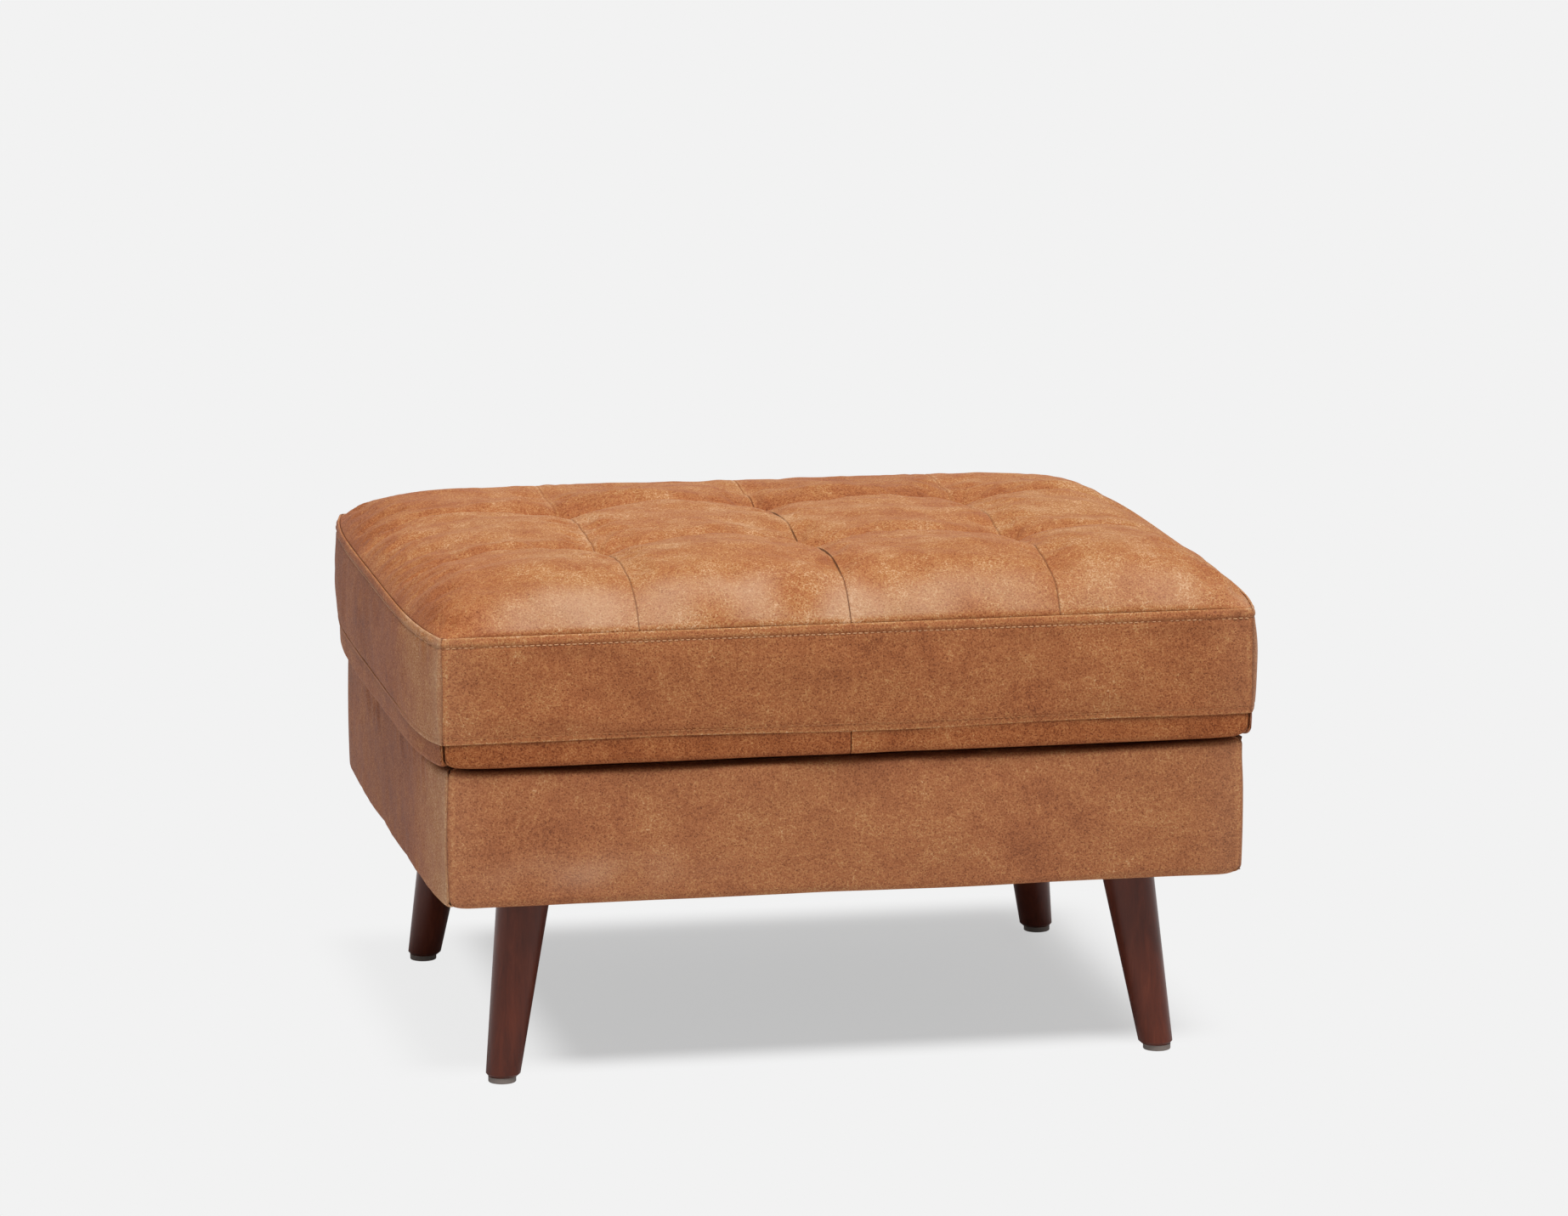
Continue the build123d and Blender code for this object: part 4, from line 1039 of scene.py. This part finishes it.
def build_top():
    across, along = between(COLUMN_MARKS, spaced), between(ROW_MARKS, spaced)
    x, y = top_plan(across, along)
    wide, deep = x.shape
    surface = np.stack([x, y, top_shape(across, along, x, y)], -1).reshape(-1, 3)
    faces = grid_faces(wide, deep)
    # the rim turns down inside the boxing and closes flat underneath
    order = np.arange(wide * deep).reshape(wide, deep)
    sides = (order[:, 0], order[-1, 1:], order[-2::-1, -1], order[0, -2:0:-1])
    rim = np.concatenate(sides).tolist()
    loops, previous = [surface], rim
    for level, (shrink, drop) in enumerate(RIM_RINGS):
        ring = surface[rim]
        ring[:, :2] -= np.sign(ring[:, :2]) * shrink
        ring[:, 2] = TOP_SEAM - drop
        loops.append(ring)
        start = len(surface) + level * len(rim)
        current = list(range(start, start + len(rim)))
        turned = [values[1:] + values[:1] for values in (current, previous)]
        faces += list(zip(previous, current, *turned))
        previous = current
    faces.append(tuple(previous))
    verts = np.concatenate(loops)

    looks, shift = top_looks(x, y)
    hidden = len(verts) - len(surface)
    cut = verts * MM
    cut[:len(surface)] += shift.reshape(-1, 3)
    attributes = {"cut": cut}
    for key, values in looks.items():
        below = np.full(hidden, 1.0 if key == "seam" else 0.0)
        attributes[key] = np.concatenate([values.ravel(), below])
    obj = make_mesh("cushion_top_leather", verts, faces, LEATHER, "cushion", attributes)
    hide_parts(*TOP_NODES, "fibre_quilt", "soft_foam_layer", "foam_core", "tuft_washers",
                "tuft_ties")


# Stitches

STITCH_SIDES = 6
# place along the stitch, lift and thickness of each ring
STITCH_RINGS = ((-0.5, -1.1, 0.6), (-0.36, 0.1, 0.95), (0.0, 0.45, 1.0), (0.36, 0.1, 0.95),
                (0.5, -1.1, 0.6))
STITCH_PITCH, STITCH_LENGTH, STITCH_MARGIN = 5.0, 3.7, 6.0


def stitch_mesh(name, spots, material, body, length, radius, slot="leather"):
    """Short thread stitches at (point, along, outward), bent into the leather at both ends."""
    verts, faces = [], []
    for point, along, outward in spots:
        across = np.cross(along, outward)
        faces += tube_faces(len(STITCH_RINGS), STITCH_SIDES, len(verts))
        for place, lift, thick in STITCH_RINGS:
            centre = point + along * (place * length) + outward * (lift * radius)
            for k in range(STITCH_SIDES):
                angle = 2 * math.pi * k / STITCH_SIDES
                round_it = across * math.cos(angle) + outward * math.sin(angle)
                verts.append(centre + round_it * radius * thick)
    make_mesh(name, verts, faces, material, body)


def side_spots(side, height, out, seed, proud=None):
    """Evenly spaced stitch places along a side of the boxing. They stand out most round proud."""
    half_a, half_b, bow = side_shape(side, CUSHION_X, CUSHION_Y, CUSHION_BOW)
    rng = np.random.default_rng(seed)
    reach = half_a - STITCH_MARGIN
    spots = []
    for a in np.linspace(-reach, reach, int(2 * reach / STITCH_PITCH)):
        share = abs(a) / half_a
        b = half_b + bow * (1 - share**CUSHION_POWER) + out
        slope = -bow * CUSHION_POWER / half_a * share ** (CUSHION_POWER - 1) * math.copysign(1, a)
        tangent = np.array([*to_world(side, np.array([1.0, slope])), 0])
        tangent /= np.linalg.norm(tangent)
        outward = np.cross(tangent, (0, 0, 1.0))
        if outward @ np.array([*SIDES[side], 0]) < 0:
            outward = -outward
        along = tangent + np.array([0, 0, rng.uniform(-0.05, 0.05)])
        along /= np.linalg.norm(along)
        sunk = 0.22 * math.sin(a / 31 + seed) + 0.16 * math.sin(a / 13 + 2 * seed)
        sunk += rng.uniform(-0.08, 0.08)
        if proud is not None:
            sunk += 0.46 * (1 - float(bell(a - proud, 100))) - 0.1
        point = np.array([*to_world(side, np.array([a, b])), height + rng.uniform(-0.15, 0.15)])
        spots.append((point - outward * max(0.0, sunk), along, outward))
    return spots


def build_stitches():
    for number, side in enumerate(SIDES):
        out = 0.5 if side in ENDS else 0.3
        proud = -200.0 if side == "front" else 0.0
        for seam, height, lift, seed, most, material, radius in (
                ("top", TOP_STITCH, out, 100, proud, CREAM_THREAD, 0.5),
                ("hem", HEM_STITCH, out - 0.2, 110, None, TAN_THREAD, 0.4)):
            spots = side_spots(side, height, lift, seed + number, most)
            stitch_mesh(f"boxing_{side}_{seam}_stitches", spots, material, "cushion",
                        STITCH_LENGTH, radius)


# Sheets

def slab(name, corner_a, corner_b, material, body, slot, step=8.0, lift=None, holes=(),
         turned=False):
    """A thin sheet between two corners. lift(x, y) moves both faces, and a turned sheet stands
    upright, thin along y."""
    (ax, ay, low), (bx, by, high) = corner_a, corner_b
    x, y = np.meshgrid(np.linspace(ax, bx, int((bx - ax) / step) + 2),
                       np.linspace(ay, by, int((by - ay) / step) + 2), indexing="ij")
    edge = np.minimum(np.minimum(x - ax, bx - x), np.minimum(y - ay, by - y))
    rounding = min(0.35 * (high - low), 0.4) * bell(edge, 0.4 * step)
    moved = lift(x, y) if lift else np.zeros(x.shape)
    top = np.stack([x, y, high + moved - rounding], -1).reshape(-1, 3)
    under = np.stack([x, y, low + moved + rounding], -1).reshape(-1, 3)
    n = x.size
    kept = []
    for face in grid_faces(*x.shape):
        middle = top[list(face)].mean(0)
        if all(math.hypot(middle[0] - hx, middle[1] - hy) > radius for hx, hy, radius in holes):
            kept.append(face)
    edges = dict.fromkeys(pair for face in kept for pair in zip(face, face[1:] + face[:1]))
    faces = kept + [tuple(v + n for v in face)[::-1] for face in kept]
    faces += [(b, a, a + n, b + n) for a, b in edges if (b, a) not in edges]
    verts = np.concatenate([top, under])
    if turned:
        verts = verts[:, (0, 2, 1)]
    return make_mesh(name, verts, faces, material, body, None, False)


def node_box(name):
    low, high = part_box(name)
    return np.array(low) / MM, np.array(high) / MM


def stretched_sheet(name, node, material, body, rests_on, *also, **shape):
    """A cloth stretched flat where its CAD node is."""
    low, high = node_box(node)
    sheet = slab(name, low, high, material, body, "platform_cloth", **shape)
    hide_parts(node, *also)


def build_sheets():
    stretched_sheet("deck_cloth_sheet", "deck_cloth", BLACK_CLOTH, "base", "frame_front_rail",
                    "deck_pad")
    stretched_sheet("cushion_bottom_sheet", "bottom_panel", BLACK_CLOTH, "cushion",
                    "cushion_top_leather")
    high = node_box("dust_cover")[1]

    def slack(x, y):
        # a little loose between its staples
        edge = np.minimum(high[0] - np.abs(x), high[1] - np.abs(y))
        uneven = np.clip(waves(np.stack([x, y], -1), 210, 17), -1, 1)
        return -0.3 * smoothstep(edge, 8, 60) * (0.5 + 0.5 * uneven)

    holes = [(sx * LEG_TOP_X, sy * LEG_TOP_Y, LEG_HOLE) for sx in (-1, 1) for sy in (-1, 1)]
    stretched_sheet("dust_cover_sheet", "dust_cover", DUST_CLOTH, "base", "base_front_leather",
                    step=6.5, lift=slack, holes=holes)


# Fastening strips and the zip

STRIP_X, STRIP_WIDTH = 200.0, 50.0
STRIP_PLACES = {"front": -195.0, "back": 145.0}
STRIP_HEM, STRIP_PITCH, STRIP_STEP, STRIP_SUNK = 3.2, 3.6, 1.25, 0.32
STRIP_STITCH = (2.6, 0.24)  # length and radius


def build_strips():
    """Loop strips on the deck and hook strips under the cushion, each stitched down all round."""
    for node, body, material, sign in (("deck_loop_strips", "base", LOOPS, 1),
                                       ("cushion_hook_strips", "cushion", HOOKS, -1)):
        low, high = node_box(node)
        for place, near in STRIP_PLACES.items():
            far = near + STRIP_WIDTH

            def nap(x, y, near=near):
                edge = np.minimum(np.minimum(STRIP_X - np.abs(x), y - near), near + STRIP_WIDTH - y)
                return -sign * 0.12 * bell(edge - STRIP_HEM, 0.9)

            slab(f"{node}_{place}", (-STRIP_X, near, low[2]), (STRIP_X, far, high[2]),
                             material, body, "tape", STRIP_STEP, nap)
            height = (high[2] if sign > 0 else low[2]) - sign * STRIP_SUNK
            out = np.array([0.0, 0.0, float(sign)])
            spots = [(np.array([x, y, height]), np.array([1.0, 0, 0]), out)
                     for y in (near + STRIP_HEM, far - STRIP_HEM)
                     for x in np.arange(-STRIP_X + 5, STRIP_X - 4, STRIP_PITCH)]
            spots += [(np.array([x, y, height]), np.array([0, 1.0, 0]), out)
                      for x in (-STRIP_X + STRIP_HEM, STRIP_X - STRIP_HEM)
                      for y in np.arange(near + 6, near + 45, STRIP_PITCH)]
            stitch_mesh(f"{node}_{place}_stitches", spots, BLACK_THREAD, body, *STRIP_STITCH,
                        "tape")
        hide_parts(node)


COIL_PITCH, COIL_ACROSS, COIL_DEEP, COIL_WIRE = 1.45, 0.86, 0.42, 0.24
COIL_STEPS, COIL_SIDES = 10, 5
COIL_OFFSET, TAPE_GAP, TAPE_STEP, TAPE_RIB = 1.5, 0.8, 1.3, 2.6


def coil(name, z, turn):
    """A nylon zip coil: a flattened helix of thin wire."""
    low, high = node_box("zip_coils")
    count = int((high[0] - low[0]) / COIL_PITCH * COIL_STEPS)
    t = np.arange(count) * (2 * math.pi / COIL_STEPS)
    xs = low[0] + COIL_WIRE + (high[0] - low[0] - 2 * COIL_WIRE) * np.arange(count) / (count - 1)
    centre = np.stack([xs, (low[1] + high[1]) / 2 + COIL_DEEP * np.cos(t),
                       z + COIL_ACROSS * turn * np.sin(t)], 1)
    along = np.gradient(centre, axis=0)
    along /= np.linalg.norm(along, axis=1)[:, None]
    side = np.cross(along, (1.0, 0, 0))
    side /= np.linalg.norm(side, axis=1)[:, None]
    up = np.cross(along, side)
    angle = np.linspace(0, 2 * math.pi, COIL_SIDES, endpoint=False)[None, :, None]
    ring = side[:, None] * np.cos(angle) + up[:, None] * np.sin(angle)
    verts = (centre[:, None] + COIL_WIRE * ring).reshape(-1, 3)
    return make_mesh(name, verts, tube_faces(count, COIL_SIDES), COIL, "cushion")


def build_zip():
    def ribs(x, z):
        return 0.06 * np.sin(2 * math.pi * z / TAPE_RIB)

    low, high = node_box("zip_tapes")
    made = [slab(f"zip_tape_{place}", (low[0], a, low[1]), (high[0], b, high[1]), TAPE, "cushion",
                 "tape", TAPE_STEP, ribs, (), True)
            for place, a, b in (("lower", low[2], ZIP_HEIGHT - TAPE_GAP),
                                ("upper", ZIP_HEIGHT + TAPE_GAP, high[2]))]
    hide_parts("zip_tapes")
    lower = coil("zip_coil_lower", ZIP_HEIGHT - COIL_OFFSET, 1)
    coil("zip_coil_upper", ZIP_HEIGHT + COIL_OFFSET, -1)
    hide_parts("zip_coils")


# The first key that is in a CAD node's name gives its material
CAD_MATERIALS = {
    "frame_": FRAME_WOOD, "corner_block_screws": STEEL, "corner_block": FRAME_WOOD, "_leg": WOOD,
    "webbing": WEBBING, "_glide": GLIDE, "hanger_bolts": STEEL, "tee_nuts": STEEL, "staples": STEEL,
    "zip_slider": NICKEL,
}


def dress_cad():
    """Gives every CAD node that still shows its own material."""
    for name, obj in NODES.items():
        material = next((found for key, found in CAD_MATERIALS.items() if key in name), None)
        if material is not None:
            obj.data.materials.clear()
            obj.data.materials.append(material)


# Stage: floor, world, lamps and camera

PAPER_WHITE = (0.888, 0.888, 0.888)
FLOOR_SIZE, FLOOR_LEVEL, FLOOR_GLOW = 60.0, -0.0004, 0.57
# where the painted shadow outline starts and ends on the floor, each with the width of its soft
# edge
SHADOW_LEFT, SHADOW_RIGHT = (-0.262, -0.195), (0.258, 0.388)
SHADOW_FRONT, SHADOW_BACK = (-0.217, -0.138), (0.282, 0.378)
# left of the outline a band lets a share of the real shadow show, a painted half shade
HALO_LEFT, HALO_SHARE = (-0.388, -0.325), 0.22
SOFT_LIGHT = 0.22
# direction, angle in degrees and power
LAMPS = (("key", (0.10, -0.58, 1.0), 23, 2.0), ("top", (0.0, -0.12, 1.0), 33, 1.3))
CAMERA_PLACE, CAMERA_AZIMUTH, CAMERA_ELEVATION = (-1.2216, -6.0875, 1.5475), -11.3736, 10.8628
SENSOR, FOCAL_PIXELS, PHOTO_PIXELS = 36.0, 8475.41, 1845.0


def build_floor():
    mesh = bpy.data.meshes.new("floor")
    corners = ((-1, -1), (1, -1), (1, 1), (-1, 1))
    mesh.from_pydata([(x * FLOOR_SIZE, y * FLOOR_SIZE, FLOOR_LEVEL) for x, y in corners],
                     [], [(0, 1, 2, 3)])
    t = Material("floor_paper")
    t.finish(Base_Color=(0.755, 0.755, 0.755), Roughness=1.0, Specular_IOR_Level=0.0)
    place = t.add("ShaderNodeSeparateXYZ", None, {0: t.place()})

    def edge(axis, ends, low=0.0, high=1.0):
        return t.span(place.outputs[axis], *ends, low, high, "SMOOTHSTEP")

    # seen by the camera the floor is part plain white, which keeps the shadow pale, and beyond the
    # shadow it is all white, as in the photograph
    # painted light: outside the painted shadow outline the camera sees plain white glow over the
    # real shadow
    painted_shadow_mask = t.total(edge(0, SHADOW_LEFT, 0.0, 1 - HALO_SHARE), edge(0, HALO_LEFT, 0.0, HALO_SHARE))
    for border in (edge(0, SHADOW_RIGHT, 1.0, 0.0), edge(1, SHADOW_FRONT),
                   edge(1, SHADOW_BACK, 1.0, 0.0)):
        painted_shadow_mask = t.times(painted_shadow_mask, border)
    share = t.times(t.ray("Is Camera Ray"), t.calc("MULTIPLY_ADD", painted_shadow_mask, FLOOR_GLOW - 1, 1.0))
    glow = t.add("ShaderNodeEmission", None, {0: PAPER_WHITE})
    t.put(t.out.inputs[0], t.mix_shaders(share, t.shader, glow))
    mesh.materials.append(t.material)
    new_object("floor", mesh)


def build_world():
    world = bpy.data.worlds.new("studio")
    bpy.context.scene.world = world
    world.use_nodes = True
    t = Nodes(world.node_tree)
    seen = t.add("ShaderNodeBackground", None, {0: PAPER_WHITE})
    lit = t.add("ShaderNodeBackground", None, {0: (1.0, 1.0, 1.0), 1: SOFT_LIGHT})
    shown = t.calc("MAXIMUM", t.ray("Is Camera Ray"), t.ray("Is Glossy Ray"))
    t.add("ShaderNodeOutputWorld", None, {0: t.mix_shaders(shown, lit, seen)})


def turn_to(obj, rotation):
    obj.rotation_mode = "QUATERNION"
    obj.rotation_quaternion = rotation


def build_stage():
    build_floor()
    build_world()
    for name, direction, angle, power in LAMPS:
        lamp = bpy.data.lights.new(name, "SUN")
        lamp.angle = math.radians(angle)
        lamp.energy = power
        turn_to(new_object(name, lamp), Vector(direction).to_track_quat("Z", "Y"))

    azimuth, elevation = math.radians(CAMERA_AZIMUTH), math.radians(CAMERA_ELEVATION)
    back = Vector((math.sin(azimuth) * math.cos(elevation),
                   -math.cos(azimuth) * math.cos(elevation), math.sin(elevation)))
    data = bpy.data.cameras.new("camera")
    data.sensor_fit = "HORIZONTAL"
    data.sensor_width = SENSOR
    data.lens = SENSOR * FOCAL_PIXELS / PHOTO_PIXELS
    data.clip_start, data.clip_end = 0.1, 200.0
    camera = new_object("camera", data)
    camera.location = CAMERA_PLACE
    turn_to(camera, (-back).to_track_quat("-Z", "Y"))
    bpy.context.scene.camera = camera
    bpy.context.scene.view_settings.view_transform = "Standard"


build_top()
build_boxing()
build_bands()
build_base()
build_stitches()
build_sheets()
build_strips()
build_zip()
dress_cad()
build_stage()
